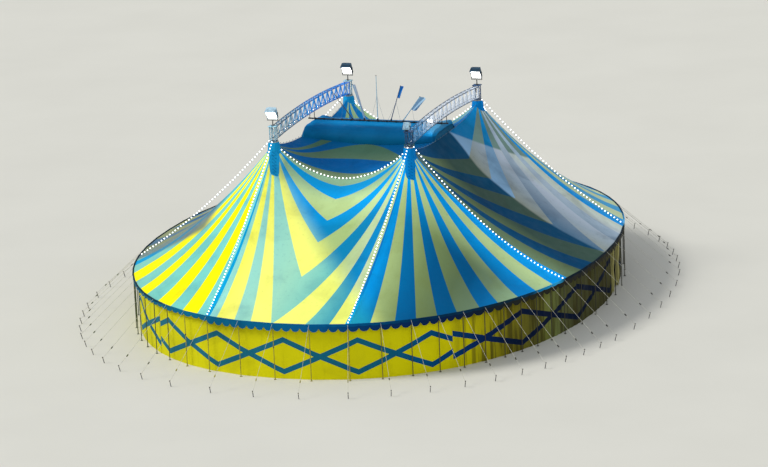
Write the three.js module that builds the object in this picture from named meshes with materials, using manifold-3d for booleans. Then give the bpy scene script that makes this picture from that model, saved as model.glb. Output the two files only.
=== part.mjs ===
// Four-mast circus big top tent, a scale model at 1:2.
// Frame: +Z up, the origin on the ground under the middle of the tent, the front faces -Y.
// Lengths are real metres times METRE, so the numbers below read as the real tent's.

import * as THREE from 'three';
import { mergeVertices } from 'three/addons/utils/BufferGeometryUtils.js';
import Module from 'manifold-3d';

const wasm = await Module();
wasm.setup();

// Scale: millimetres of model for one real metre
const METRE = 500;
const GAP = 0.3;

// Plan of the tent
const MAST_X = 5.1 * METRE;
const MAST_Y = 7.7 * METRE;
const RIM_X = 16.9 * METRE;
const RIM_Y = 22.1 * METRE;
const RIM_POWER = 2.16;

// Heights
const RIM_Z = 3.94 * METRE;
const PEAK_Z = 12.8 * METRE;
const MAST_TOP_Z = 14.1 * METRE;
const FRONT_SADDLE_DROP = 2.4 * METRE;
const SIDE_RIDGE_DROP = 0.75 * METRE;
const SIDE_RIDGE_POWER = 3;

// How hollow the cloth hangs between its high edge and the rim
const MAST_HOLLOW = 0.45;
const SADDLE_HOLLOW = 0.55;

// Cupola hood between the masts
const HOOD_HALF_WIDTH = 2.3 * METRE;
const HOOD_TOP_Z = 12.85 * METRE;
const HOOD_EDGE_SAG = 0.37 * METRE;
const HOOD_POWER = 2.6;
const HOOD_STEPS = 12;
const HOOD_BAYS = 6;
const NET_THICKNESS = 8;
const NET_INSET = 4;
const NET_SLACK = 0.7;
const NET_BELOW = 10;

// Cloth and the rim band that carries it
const CLOTH = 20;
const BAND_WIDTH = 60;
const BAND_BELOW = 26;
const BAND_ABOVE = 6;
const HALF_CUT = 0.0002;
const VALANCE_DROP = 0.46 * METRE;
const VALANCE_OFFSET = 44;
const VALANCE_THICKNESS = 8;
const WALL_INSET = 0.25 * METRE;
const WALL_THICKNESS = 20;

// Rim vertices of one quarter, from the middle of the front to the middle of the side
const FRONT_BAYS = 2;
const CORNER_BAYS = 10;
const SIDE_BAYS = 3;
const QUARTER_BAYS = FRONT_BAYS + CORNER_BAYS + SIDE_BAYS;
const END_VERTICES = 8;
const SIDE_VERTICES = QUARTER_BAYS - END_VERTICES;
const CLOTH_STEPS = 7;
const SEAM_RAYS = [30, 44, 58, 74, 90];
const SIDE_SEAM_RAYS = [46, 60, 75, 90];

// Masts
const MAST_HALF = 0.2 * METRE;
const CHORD_RADIUS = 0.035 * METRE;
const BRACE_RADIUS = 0.02 * METRE;
const MAST_BAYS = 4;
const FOOT_HALF = 0.45 * METRE;
const FOOT_HEIGHT = 0.06 * METRE;
const HEAD_HALF = 0.3 * METRE;
const HEAD_HEIGHT = 0.05 * METRE;
const COLLAR_RADIUS = 0.42 * METRE;
const COLLAR_SLACK = 3;
const COLLAR_SIDES = 16;
const COLLAR_INNER = 0.3 * METRE;
const COLLAR_BOTTOM_Z = 12.3 * METRE;
const COLLAR_TOP_Z = 12.75 * METRE;

// Arched trusses over the two sides
const ARCH_DEPTH = 0.85 * METRE;
const ARCH_HALF_WIDTH = 0.18 * METRE;
const ARCH_RISE = 0.35 * METRE;
const ARCH_TOP_Z = 14.0 * METRE;
const ARCH_BAYS = 8;
const ARCH_LAMP_BAY = 3;

// Ridge beam and its fan of flag poles, as run along the beam and height above it
const BEAM_RADIUS = 0.06 * METRE;
const BEAM_HALF_LENGTH = 5.4 * METRE;
const FLAG_POLE_RADIUS = 0.035 * METRE;
const FLAG_WIDTH = 0.45 * METRE;
const FLAG_HEIGHT = 0.9 * METRE;
const FLAG_THICKNESS = 8;
const FLAG_POLES = [
  { foot: -1.9 * METRE, top: -3.3 * METRE, topZ: 14.85 * METRE },
  { foot: -1.0 * METRE, top: -1.85 * METRE, topZ: 15.6 * METRE },
  { foot: 0, top: 0, topZ: 16.3 * METRE },
  { foot: 1.0 * METRE, top: 1.85 * METRE, topZ: 15.6 * METRE },
  { foot: 1.9 * METRE, top: 3.3 * METRE, topZ: 14.85 * METRE },
];

// Rim poles, guy ropes and stakes
const POLE_RADIUS = 16;
const POLE_OFFSET = 20;
const GUY_RADIUS = 6;
const GUY_START_OFFSET = 50;
const GUY_TIE_SHARE = 0.8;
const STAKE_REACH = 4.0 * METRE;
const STAKE_RADIUS = 14;
const STAKE_HEIGHT = 0.45 * METRE;
const STAKE_LEAN = 0.12 * METRE;

// Light cables: the outer ones hang slack from a frame round the mast, the others lie on the cloth
const CABLE_HALF = 6;
const STRING_TOP_Z = 13.0 * METRE;
const STRING_SAG = 0.6 * METRE;
const STRING_END_SHARE = 0.99;
const STRING_END_LIFT = 2;
const STRING_STEPS = 10;
const STRING_FRAME_BAR = 2 * CABLE_HALF + 2;
const STRING_FRAME_HALF = MAST_HALF + CHORD_RADIUS + GAP + STRING_FRAME_BAR / 2;
const SADDLE_CABLE_LIFT = 1;
const SIDE_CABLE_SHIFT = 6.5;

// Floodlights on the mast heads
const LAMP_SIZE = new THREE.Vector3(0.75 * METRE, 0.4 * METRE, 0.8 * METRE);
const LAMP_LIFT = 0.95 * METRE;
const LAMP_TILT = 0.5;
const SMALL_LAMP = { size: 0.65, lift: 0.35 * METRE, shift: -0.15 * METRE };
const LARGE_LAMP = { size: 1, lift: LAMP_LIFT, shift: 0 };
const YOKE_HALF = 0.05 * METRE;

// Walls, with the entrance as one bay of the right side, between a vertex and the next one back
const WALL_SEAM_DROP = 8;
const ENTRANCE_VERTEX = QUARTER_BAYS - 1;
const CURTAIN_RADIUS = 0.2 * METRE;
const CURTAIN_FOLDS = 7;
const CURTAIN_FOLD_DEPTH = 0.25;
const CURTAIN_TIE_SHARE = 0.45;
const CURTAIN_TIE_SIZE = 0.6;

// Materials
const paint = (color, roughness, metalness = 0) =>
  new THREE.MeshStandardMaterial({ color, roughness, metalness });
const MATERIALS = {
  canopy: paint(0x0a86c8, 0.6),
  hood: paint(0x0766a0, 0.6),
  wall: paint(0xe6c800, 0.65),
  valance: paint(0x0f5fb0, 0.6),
  net: paint(0x9aa7a6, 0.8),
  steel: paint(0x9ca3a8, 0.45, 0.8),
  truss: paint(0xbfd0e2, 0.4, 0.7),
  lamp: paint(0x2a2d30, 0.5, 0.3),
  cable: paint(0xe8eef2, 0.4),
  rigging: paint(0x5d5a52, 0.7),
};

const UP = new THREE.Vector3(0, 0, 1);
const point = (x, y, z) => new THREE.Vector3(x, y, z);
const mix = (low, high, share) => low + (high - low) * share;

// Closed body from a list of faces, turned so that they point out
function bodyFromFaces(points, faces) {
  let volume = 0;
  for (const [a, b, c] of faces) {
    volume += points[a].dot(new THREE.Vector3().crossVectors(points[b], points[c]));
  }
  const ordered = volume < 0 ? faces.map(([a, b, c]) => [a, c, b]) : faces;
  const geometry = new THREE.BufferGeometry();
  geometry.setFromPoints(points);
  geometry.setIndex(ordered.flat());
  return geometry;
}

// Body through a row of sections with the same number of corners
function loft(sections) {
  const corners = sections[0].length;
  const points = sections.flat();
  const faces = [];
  for (let i = 0; i + 1 < sections.length; i += 1) {
    for (let j = 0; j < corners; j += 1) {
      const a = i * corners + j;
      const b = i * corners + ((j + 1) % corners);
      faces.push([a, b, b + corners], [a, b + corners, a + corners]);
    }
  }
  const last = (sections.length - 1) * corners;
  for (let j = 1; j + 1 < corners; j += 1) {
    faces.push([0, j + 1, j], [last, last + j, last + j + 1]);
  }
  return bodyFromFaces(points, faces);
}

// Cloth of even upright thickness under a grid of points
function clothUnder(grid, thickness) {
  const rows = grid.length;
  const columns = grid[0].length;
  const top = grid.flat();
  const points = [...top, ...top.map((p) => point(p.x, p.y, p.z - thickness))];
  const under = rows * columns;
  const at = (i, j) => i * columns + j;
  const faces = [];
  for (let i = 0; i + 1 < rows; i += 1) {
    for (let j = 0; j + 1 < columns; j += 1) {
      const quad = [at(i, j), at(i + 1, j), at(i + 1, j + 1), at(i, j + 1)];
      faces.push([quad[0], quad[1], quad[2]], [quad[0], quad[2], quad[3]]);
      faces.push([quad[0] + under, quad[2] + under, quad[1] + under]);
      faces.push([quad[0] + under, quad[3] + under, quad[2] + under]);
    }
  }
  const border = [];
  for (let i = 0; i < rows - 1; i += 1) border.push(at(i, 0));
  for (let j = 0; j < columns - 1; j += 1) border.push(at(rows - 1, j));
  for (let i = rows - 1; i > 0; i -= 1) border.push(at(i, columns - 1));
  for (let j = columns - 1; j > 0; j -= 1) border.push(at(0, j));
  border.forEach((from, k) => {
    const to = border[(k + 1) % border.length];
    faces.push([from, from + under, to + under], [from, to + under, to]);
  });
  return bodyFromFaces(points, faces);
}

// Round bar between two points
function bar(from, to, radius, sides = 6) {
  const run = new THREE.Vector3().subVectors(to, from);
  const geometry = new THREE.CylinderGeometry(radius, radius, run.length(), sides);
  geometry.rotateX(Math.PI / 2);
  const turn = new THREE.Quaternion().setFromUnitVectors(UP, run.normalize());
  geometry.applyQuaternion(turn);
  const middle = new THREE.Vector3().addVectors(from, to).multiplyScalar(0.5);
  geometry.translate(middle.x, middle.y, middle.z);
  return geometry;
}

function block(width, depth, height, centre) {
  const geometry = new THREE.BoxGeometry(width, depth, height);
  geometry.translate(centre.x, centre.y, centre.z);
  return geometry;
}

function toSolid(geometry) {
  const bare = geometry.clone();
  bare.deleteAttribute('normal');
  bare.deleteAttribute('uv');
  const merged = mergeVertices(bare, 1e-3);
  return new wasm.Manifold(new wasm.Mesh({
    numProp: 3,
    vertProperties: new Float32Array(merged.attributes.position.array),
    triVerts: new Uint32Array(merged.index.array),
  }));
}

function toGeometry(solid) {
  const mesh = solid.getMesh();
  const geometry = new THREE.BufferGeometry();
  geometry.setAttribute('position', new THREE.BufferAttribute(mesh.vertProperties, 3));
  geometry.setIndex(new THREE.BufferAttribute(mesh.triVerts, 1));
  return geometry;
}

// One body from overlapping pieces
function fuse(pieces) {
  const solids = pieces.map(toSolid);
  return toGeometry(solids.reduce((whole, next) => whole.add(next)));
}

function cutAway(geometry, tools) {
  return toGeometry(tools.map(toSolid).reduce((rest, tool) => rest.subtract(tool), toSolid(geometry)));
}

const group = new THREE.Group();

function addPiece(name, geometry, material) {
  const mesh = new THREE.Mesh(geometry, material);
  mesh.name = name;
  group.add(mesh);
}

// Rim of the tent: a rounded plan between an ellipse and a rectangle
const rimY = (x) => RIM_Y * (1 - (Math.abs(x) / RIM_X) ** RIM_POWER) ** (1 / RIM_POWER);
const rimX = (y) => RIM_X * (1 - (Math.abs(y) / RIM_Y) ** RIM_POWER) ** (1 / RIM_POWER);

// Distance from a mast to the rim, at an angle from the front towards the side
function rimReach(angle) {
  let near = 0;
  let far = RIM_Y;
  for (let i = 0; i < 50; i += 1) {
    const reach = (near + far) / 2;
    const x = MAST_X + reach * Math.sin(angle);
    const y = MAST_Y + reach * Math.cos(angle);
    const size = (x / RIM_X) ** RIM_POWER + (y / RIM_Y) ** RIM_POWER;
    if (size < 1) near = reach;
    else far = reach;
  }
  return near;
}

// Hang of the cloth, 1 at its high edge and 0 at the rim
const hang = (share, hollow) => (1 - share) * (1 - hollow * share);
const frontRidge = (x) => PEAK_Z - FRONT_SADDLE_DROP * (1 - (Math.abs(x) / MAST_X) ** 2);
const sideRidge = (y) =>
  PEAK_Z - SIDE_RIDGE_DROP * (1 - (Math.abs(y) / MAST_Y) ** SIDE_RIDGE_POWER);
const hoodEdge = (x) =>
  sideRidge(HOOD_HALF_WIDTH) - HOOD_EDGE_SAG * (1 - (Math.abs(x) / MAST_X) ** 2);

// Height of the cloth outside the masts, by symmetry in one quarter
function clothZ(x, y) {
  const ax = Math.abs(x);
  const ay = Math.abs(y);
  if (ax > MAST_X && ay > MAST_Y) {
    const reach = Math.hypot(ax - MAST_X, ay - MAST_Y);
    const whole = rimReach(Math.atan2(ax - MAST_X, ay - MAST_Y));
    return mix(RIM_Z, PEAK_Z, hang(Math.min(1, reach / whole), MAST_HOLLOW));
  }
  if (ay > MAST_Y) {
    const share = Math.min(1, (ay - MAST_Y) / (rimY(ax) - MAST_Y));
    const hollow = mix(SADDLE_HOLLOW, MAST_HOLLOW, ax / MAST_X);
    return mix(RIM_Z, frontRidge(ax), hang(share, hollow));
  }
  const share = Math.min(1, (ax - MAST_X) / (rimX(ay) - MAST_X));
  return mix(RIM_Z, sideRidge(ay), hang(Math.max(0, share), MAST_HOLLOW));
}

// Height of the crown cloth between a saddle and the hood
function crownZ(x, y) {
  const share = (MAST_Y - Math.abs(y)) / (MAST_Y - HOOD_HALF_WIDTH);
  const ruled = mix(frontRidge(x), hoodEdge(x), share);
  return ruled + sideRidge(y) - mix(PEAK_Z, sideRidge(HOOD_HALF_WIDTH), share);
}

const hoodZ = (x, swing) => {
  const crown = (1 - Math.abs(Math.sin(swing)) ** HOOD_POWER) ** (1 / HOOD_POWER);
  return mix(hoodEdge(x), HOOD_TOP_Z, crown);
};
const hoodSwing = (j) => Math.PI * (j / HOOD_STEPS - 0.5);
const hoodY = (swing) => (HOOD_HALF_WIDTH - GAP / 2) * Math.sin(swing);

// The four quarters, by the side of the tent that each lies on, and the way its lamp faces along Y
const QUARTERS = [
  { name: 'front_left', sx: -1, sy: -1, facing: -1, lampKind: LARGE_LAMP },
  { name: 'front_right', sx: 1, sy: -1, facing: 1, lampKind: SMALL_LAMP },
  { name: 'back_right', sx: 1, sy: 1, facing: -1, lampKind: LARGE_LAMP },
  { name: 'back_left', sx: -1, sy: 1, facing: -1, lampKind: LARGE_LAMP },
];

// Rim vertices of one quarter in its own positive corner, front middle first
function quarterRim() {
  const points = [];
  for (let i = 0; i < FRONT_BAYS; i += 1) {
    const x = (MAST_X * i) / FRONT_BAYS;
    points.push([x, rimY(x)]);
  }
  for (let i = 0; i <= CORNER_BAYS; i += 1) {
    const angle = (Math.PI / 2) * (i / CORNER_BAYS);
    const reach = rimReach(angle);
    points.push([MAST_X + reach * Math.sin(angle), MAST_Y + reach * Math.cos(angle)]);
  }
  for (let i = SIDE_BAYS - 1; i >= 0; i -= 1) {
    const y = (MAST_Y * i) / SIDE_BAYS;
    points.push([rimX(y), y]);
  }
  return points;
}

const RIM_QUARTER = quarterRim();

// Whole rim, anticlockwise from the middle of the front
function wholeRim() {
  const right = RIM_QUARTER.map(([x, y]) => [x, -y]);
  const backRight = RIM_QUARTER.map(([x, y]) => [x, y]).reverse();
  const backLeft = RIM_QUARTER.map(([x, y]) => [-x, y]);
  const left = RIM_QUARTER.map(([x, y]) => [-x, -y]).reverse();
  return [right, backRight, backLeft, left].flatMap((part) => part.slice(0, -1));
}

const RIM = wholeRim();

// Rim moved outwards by an even distance, at vertex k
function rimOffset(k, distance) {
  const count = RIM.length;
  const [px, py] = RIM[(k - 1 + count) % count];
  const [x, y] = RIM[((k % count) + count) % count];
  const [nx, ny] = RIM[(k + 1) % count];
  const before = new THREE.Vector2(y - py, px - x).normalize();
  const after = new THREE.Vector2(ny - y, x - nx).normalize();
  const middle = before.clone().add(after).normalize();
  const stretch = distance / middle.dot(before);
  return new THREE.Vector2(x + middle.x * stretch, y + middle.y * stretch);
}

// Point part of the way along bay k of the offset rim
function rimBetween(k, share, distance) {
  return rimOffset(k, distance).lerp(rimOffset(k + 1, distance), share);
}

// Steps along a ray of cloth, the last one over the wall
function raySteps(length) {
  const inner = 1 - WALL_INSET / length;
  const steps = [];
  for (let j = 0; j <= CLOTH_STEPS; j += 1) steps.push((inner * j) / CLOTH_STEPS);
  return [...steps, 1];
}

// Points of one ray from the collar to its end
function ray(start, end) {
  const run = new THREE.Vector2().subVectors(end, start);
  const first = start.clone().addScaledVector(run.clone().normalize(), COLLAR_RADIUS);
  const rest = new THREE.Vector2().subVectors(end, first);
  return raySteps(rest.length()).map((share) => first.clone().addScaledVector(rest, share));
}

// Ends of the rays of one quarter, from the front ridge round to the side ridge
function rayEnds() {
  const mast = new THREE.Vector2(MAST_X, MAST_Y);
  const seam = GAP / 2;
  const fromFront = [...SEAM_RAYS].reverse().map((degrees) => {
    const slope = Math.tan(THREE.MathUtils.degToRad(90 - degrees));
    return new THREE.Vector2(seam, mast.y + slope * (mast.x - seam));
  });
  const rim = RIM_QUARTER.map(([x, y]) => new THREE.Vector2(Math.max(x, seam), Math.max(y, seam)));
  const fromSide = SIDE_SEAM_RAYS.map((degrees) => {
    const slope = Math.tan(THREE.MathUtils.degToRad(90 - degrees));
    return new THREE.Vector2(mast.x + slope * (mast.y - seam), seam);
  });
  return [...fromFront, ...rim, ...fromSide];
}

function quarterCloth({ sx, sy }) {
  const mast = new THREE.Vector2(MAST_X, MAST_Y);
  const grid = rayEnds().map((end) =>
    ray(mast, end).map((p) => point(sx * p.x, sy * p.y, clothZ(p.x, p.y))));
  return clothUnder(grid, CLOTH);
}

// Crown cloth: the hammock between the front or back saddle and the hood
function crownCloth(sy) {
  const half = ray(new THREE.Vector2(MAST_X, MAST_Y), new THREE.Vector2(0, MAST_Y))
    .map((p) => p.x);
  const right = [MAST_X - GAP, ...half];
  const across = [...right, ...right.slice(0, -1).reverse().map((x) => -x)];
  const grid = across.map((x) => {
    const column = [];
    for (let j = 0; j <= CLOTH_STEPS; j += 1) {
      const y = mix(MAST_Y - GAP, HOOD_HALF_WIDTH + GAP / 2, j / CLOTH_STEPS);
      column.push(point(x, sy * y, crownZ(x, y)));
    }
    return column;
  });
  const collar = (sx) => bar(
    point(sx * MAST_X, sy * MAST_Y, PEAK_Z - METRE),
    point(sx * MAST_X, sy * MAST_Y, PEAK_Z + METRE),
    COLLAR_RADIUS,
    2 * COLLAR_SIDES,
  );
  return cutAway(clothUnder(grid, CLOTH), [collar(-1), collar(1)]);
}

function hoodCloth() {
  const grid = [];
  const limit = MAST_X - GAP;
  for (let i = 0; i <= HOOD_BAYS; i += 1) {
    const x = mix(-limit, limit, i / HOOD_BAYS);
    const column = [];
    for (let j = 0; j <= HOOD_STEPS; j += 1) {
      const swing = hoodSwing(j);
      column.push(point(x, hoodY(swing), hoodZ(x, swing)));
    }
    grid.push(column);
  }
  return clothUnder(grid, CLOTH);
}

// Upright net that closes an end of the hood, set just inside it
function hoodNet(sx) {
  const outer = sx * (MAST_X - NET_INSET);
  const inner = sx * (MAST_X - NET_INSET - NET_THICKNESS);
  const low = sideRidge(0) - CLOTH - NET_BELOW;
  const sections = [];
  for (let j = 1; j < HOOD_STEPS; j += 1) {
    const swing = hoodSwing(j);
    const y = hoodY(swing);
    const top = hoodZ(inner, swing) - CLOTH - NET_SLACK;
    sections.push([
      point(outer, y, low),
      point(inner, y, low),
      point(inner, y, top),
      point(outer, y, top),
    ]);
  }
  return loft(sections);
}

// Lattice mast with its foot, head plate and the collar that carries the cloth
function mast(cx, cy) {
  const corners = [[-1, -1], [1, -1], [1, 1], [-1, 1]].map(([u, v]) => [
    cx + u * MAST_HALF,
    cy + v * MAST_HALF,
  ]);
  const pieces = corners.map(([x, y]) =>
    bar(point(x, y, FOOT_HEIGHT / 2), point(x, y, MAST_TOP_Z - HEAD_HEIGHT / 2), CHORD_RADIUS, 4));
  const low = FOOT_HEIGHT;
  const high = MAST_TOP_Z - HEAD_HEIGHT;
  for (let i = 0; i < MAST_BAYS; i += 1) {
    const from = mix(low, high, i / MAST_BAYS);
    const to = mix(low, high, (i + 1) / MAST_BAYS);
    corners.forEach(([x, y], k) => {
      const [nx, ny] = corners[(k + 1) % corners.length];
      pieces.push(bar(point(x, y, from), point(nx, ny, to), BRACE_RADIUS, 4));
      if (i > 0) pieces.push(bar(point(x, y, from), point(nx, ny, from), BRACE_RADIUS, 4));
    });
  }
  pieces.push(block(2 * FOOT_HALF, 2 * FOOT_HALF, FOOT_HEIGHT, point(cx, cy, FOOT_HEIGHT / 2)));
  const headZ = MAST_TOP_Z - HEAD_HEIGHT / 2;
  pieces.push(block(2 * HEAD_HALF, 2 * HEAD_HALF, HEAD_HEIGHT, point(cx, cy, headZ)));
  const ring = new THREE.LatheGeometry([
    new THREE.Vector2(COLLAR_INNER, COLLAR_BOTTOM_Z),
    new THREE.Vector2(COLLAR_RADIUS - COLLAR_SLACK, COLLAR_BOTTOM_Z),
    new THREE.Vector2(COLLAR_RADIUS - COLLAR_SLACK, COLLAR_TOP_Z),
    new THREE.Vector2(COLLAR_INNER, COLLAR_TOP_Z),
    new THREE.Vector2(COLLAR_INNER, COLLAR_BOTTOM_Z),
  ], COLLAR_SIDES);
  ring.rotateX(Math.PI / 2);
  ring.translate(cx, cy, 0);
  pieces.push(ring);
  return fuse(pieces);
}

// Floodlight on its yoke, facing along Y and down
function floodlight(mastX, cy, facing, { size, lift, shift }) {
  const cx = mastX + shift;
  const lamp = new THREE.BoxGeometry(LAMP_SIZE.x * size, LAMP_SIZE.y * size, LAMP_SIZE.z * size);
  lamp.rotateX(-facing * LAMP_TILT);
  const base = MAST_TOP_Z + GAP;
  lamp.translate(cx, cy, base + lift);
  const post = block(2 * YOKE_HALF, 2 * YOKE_HALF, lift, point(cx, cy, base + lift / 2));
  const foot = block(4 * YOKE_HALF, 4 * YOKE_HALF, YOKE_HALF, point(cx, cy, base + YOKE_HALF / 2));
  return fuse([lamp, post, foot]);
}

// Truss ends are drawn in so that no brace passes the chord ends
const endNudge = (i) => {
  if (i === 0) return BRACE_RADIUS;
  return i === ARCH_BAYS ? -BRACE_RADIUS : 0;
};
const archTop = (y) => ARCH_TOP_Z + ARCH_RISE * (1 - (y / MAST_Y) ** 2);

// Arched box truss from mast head to mast head
function archTruss(cx) {
  const reach = MAST_Y - MAST_HALF - CHORD_RADIUS - GAP;
  const pieces = [];
  const corner = (i, side, level) => {
    const y = mix(-reach, reach, i / ARCH_BAYS);
    const z = archTop(y) - CHORD_RADIUS - level * ARCH_DEPTH;
    return point(cx + side * ARCH_HALF_WIDTH, y, z);
  };
  for (const side of [-1, 1]) {
    for (const level of [0, 1]) {
      const sections = [];
      for (let i = 0; i <= ARCH_BAYS; i += 1) {
        const c = corner(i, side, level);
        const r = CHORD_RADIUS;
        const square = [[-r, -r], [r, -r], [r, r], [-r, r]];
        sections.push(square.map(([u, v]) => point(c.x + u, c.y, c.z + v)));
      }
      pieces.push(loft(sections));
    }
    for (let i = 0; i <= ARCH_BAYS; i += 1) {
      const nudge = point(0, endNudge(i), 0);
      const low = corner(i, side, 1).add(nudge);
      const high = corner(i, side, 0).add(nudge);
      pieces.push(bar(low, high, BRACE_RADIUS, 4));
      if (i < ARCH_BAYS) {
        const rising = i % 2;
        pieces.push(bar(corner(i, side, rising), corner(i + 1, side, 1 - rising), BRACE_RADIUS, 4));
      }
    }
  }
  for (let i = 0; i <= ARCH_BAYS; i += 1) {
    const nudge = point(0, endNudge(i), 0);
    for (const level of [0, 1]) {
      const left = corner(i, -1, level).add(nudge);
      const right = corner(i, 1, level).add(nudge);
      pieces.push(bar(left, right, BRACE_RADIUS, 4));
    }
  }
  return { pieces, corner };
}

function arch(cx, withLamp) {
  const { pieces, corner } = archTruss(cx);
  if (withLamp) {
    const hold = corner(ARCH_LAMP_BAY, -1, 1);
    const lamp = new THREE.BoxGeometry(LAMP_SIZE.x / 2, LAMP_SIZE.y, LAMP_SIZE.z / 2);
    lamp.rotateX(-LAMP_TILT);
    lamp.translate(hold.x - LAMP_SIZE.x / 4, hold.y, hold.z + LAMP_SIZE.z / 4);
    pieces.push(lamp);
  }
  return fuse(pieces);
}

// Ridge beam on the hood, hung from the arches, with the fan of flag poles
function ridgeBeam() {
  const beamZ = HOOD_TOP_Z + BEAM_RADIUS + GAP;
  const pieces = [
    bar(point(-BEAM_HALF_LENGTH, 0, beamZ), point(BEAM_HALF_LENGTH, 0, beamZ), BEAM_RADIUS, 8),
  ];
  const underArch = archTop(0) - 2 * CHORD_RADIUS - ARCH_DEPTH - GAP;
  for (const side of [-1, 1]) {
    for (const edge of [-1, 1]) {
      const x = side * MAST_X + edge * ARCH_HALF_WIDTH;
      pieces.push(bar(point(x, 0, beamZ), point(x, 0, underArch), BRACE_RADIUS * 1.5));
    }
  }
  for (const { foot, top, topZ } of FLAG_POLES) {
    const low = point(foot, 0, beamZ);
    const high = point(top, 0, topZ);
    pieces.push(bar(low, high, FLAG_POLE_RADIUS));
    pieces.push(flag(low, high));
  }
  return fuse(pieces);
}

// Flag that hangs slack from the top of a pole
function flag(low, high) {
  const down = FLAG_HEIGHT / (high.z - low.z);
  const corner = high.clone().lerp(low, down);
  const y = FLAG_THICKNESS / 2;
  return loft([0, FLAG_WIDTH].map((out) => [
    point(high.x + out, -y, high.z - GAP),
    point(high.x + out, y, high.z - GAP),
    point(corner.x + out, y, corner.z),
    point(corner.x + out, -y, corner.z),
  ]));
}

// Places round a row of rim vertices, from mid bay to mid bay, as a vertex and a share of its bay
function rimPlaces(first, count) {
  const places = [[first - 1, 0.5 + HALF_CUT]];
  for (let k = first; k < first + count; k += 1) places.push([k, 0]);
  places.push([first + count - 1, 0.5 - HALF_CUT]);
  return places;
}

// Rim band with its poles, guy ropes and stakes, at a row of rim vertices
function rigging(first, count) {
  const sections = [];
  const low = RIM_Z - BAND_BELOW;
  const high = RIM_Z + BAND_ABOVE;
  const section = (inner, outer) => [
    point(inner.x, inner.y, low),
    point(outer.x, outer.y, low),
    point(outer.x, outer.y, high),
    point(inner.x, inner.y, high),
  ];
  const outerEdge = GAP + BAND_WIDTH;
  for (const [k, share] of rimPlaces(first, count)) {
    sections.push(section(rimBetween(k, share, GAP), rimBetween(k, share, outerEdge)));
  }
  const pieces = [loft(sections)];
  for (let k = first; k < first + count; k += 1) {
    const pole = rimOffset(k, GAP + POLE_OFFSET);
    pieces.push(bar(point(pole.x, pole.y, 0), point(pole.x, pole.y, RIM_Z), POLE_RADIUS, 5));
    const start = rimOffset(k, GUY_START_OFFSET);
    const stake = rimOffset(k, STAKE_REACH);
    const lean = rimOffset(k, STAKE_REACH + STAKE_LEAN);
    pieces.push(bar(
      point(start.x, start.y, RIM_Z),
      point(lean.x, lean.y, STAKE_HEIGHT * GUY_TIE_SHARE),
      GUY_RADIUS,
      4,
    ));
    const foot = [];
    const head = [];
    for (let side = 0; side < 4; side += 1) {
      const turn = (Math.PI * side) / 2;
      const dx = STAKE_RADIUS * Math.cos(turn);
      const dy = STAKE_RADIUS * Math.sin(turn);
      foot.push(point(stake.x + dx, stake.y + dy, 0));
      head.push(point(lean.x + dx, lean.y + dy, STAKE_HEIGHT));
    }
    pieces.push(loft([foot, head]));
  }
  return fuse(pieces);
}

// Valance under the rim band, outside the poles, at a row of rim vertices
function valance(first, count) {
  const top = RIM_Z - BAND_BELOW - GAP;
  const low = top - VALANCE_DROP;
  const inner = VALANCE_OFFSET;
  const outer = VALANCE_OFFSET + VALANCE_THICKNESS;
  return loft(rimPlaces(first, count).map(([k, share]) => {
    const near = rimBetween(k, share, inner);
    const far = rimBetween(k, share, outer);
    return [
      point(near.x, near.y, low),
      point(far.x, far.y, low),
      point(far.x, far.y, top),
      point(near.x, near.y, top),
    ];
  }));
}

// Wall stations of one quarter: the outer face under the last cloth step, the inner face
// inside it and the wall's height there, with one more station at each end of the quarter
function wallStations({ sx, sy }) {
  const mastPoint = new THREE.Vector2(MAST_X, MAST_Y);
  const feet = RIM_QUARTER.map(([x, y]) => ray(mastPoint, new THREE.Vector2(x, y)).at(-2));
  const outer = feet.map((p) => ({ p, top: clothZ(p.x, p.y) - CLOTH - GAP }));
  const first = outer[0];
  const last = outer.at(-1);
  outer.unshift({ p: new THREE.Vector2(GAP / 2, first.p.y), top: first.top - WALL_SEAM_DROP });
  outer.push({ p: new THREE.Vector2(last.p.x, GAP / 2), top: last.top - WALL_SEAM_DROP });
  return outer.map(({ p, top }, i) => {
    const before = outer[Math.max(0, i - 1)].p;
    const after = outer[Math.min(outer.length - 1, i + 1)].p;
    const inward = new THREE.Vector2(after.y - before.y, before.x - after.x).normalize();
    const inner = p.clone().addScaledVector(inward, WALL_THICKNESS);
    return { outer: signed(p, sx, sy), inner: signed(inner, sx, sy), top };
  });
}

const signed = (p, sx, sy) => new THREE.Vector2(sx * p.x, sy * p.y);

// Station moved along its bay by half the gap between two walls
function nudged(station, next) {
  const share = GAP / station.outer.distanceTo(next.outer);
  return {
    outer: station.outer.clone().lerp(next.outer, share),
    inner: station.inner.clone().lerp(next.inner, share),
    top: Math.min(station.top, mix(station.top, next.top, share)),
  };
}

function wall(stations) {
  const row = [...stations];
  row[0] = nudged(stations[0], stations[1]);
  row[row.length - 1] = nudged(stations.at(-1), stations.at(-2));
  return loft(row.map(({ outer, inner, top }) => [
    point(outer.x, outer.y, 0),
    point(outer.x, outer.y, top),
    point(inner.x, inner.y, top),
    point(inner.x, inner.y, 0),
  ]));
}

// Square cable along a row of points, standing by lift above them
function cable(points, across, lift) {
  return loft(points.map((p) => {
    const side = across.clone().multiplyScalar(CABLE_HALF);
    const low = p.z + lift;
    const high = low + 2 * CABLE_HALF;
    return [
      point(p.x - side.x, p.y - side.y, low),
      point(p.x + side.x, p.y + side.y, low),
      point(p.x + side.x, p.y + side.y, high),
      point(p.x - side.x, p.y - side.y, high),
    ];
  }));
}

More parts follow.
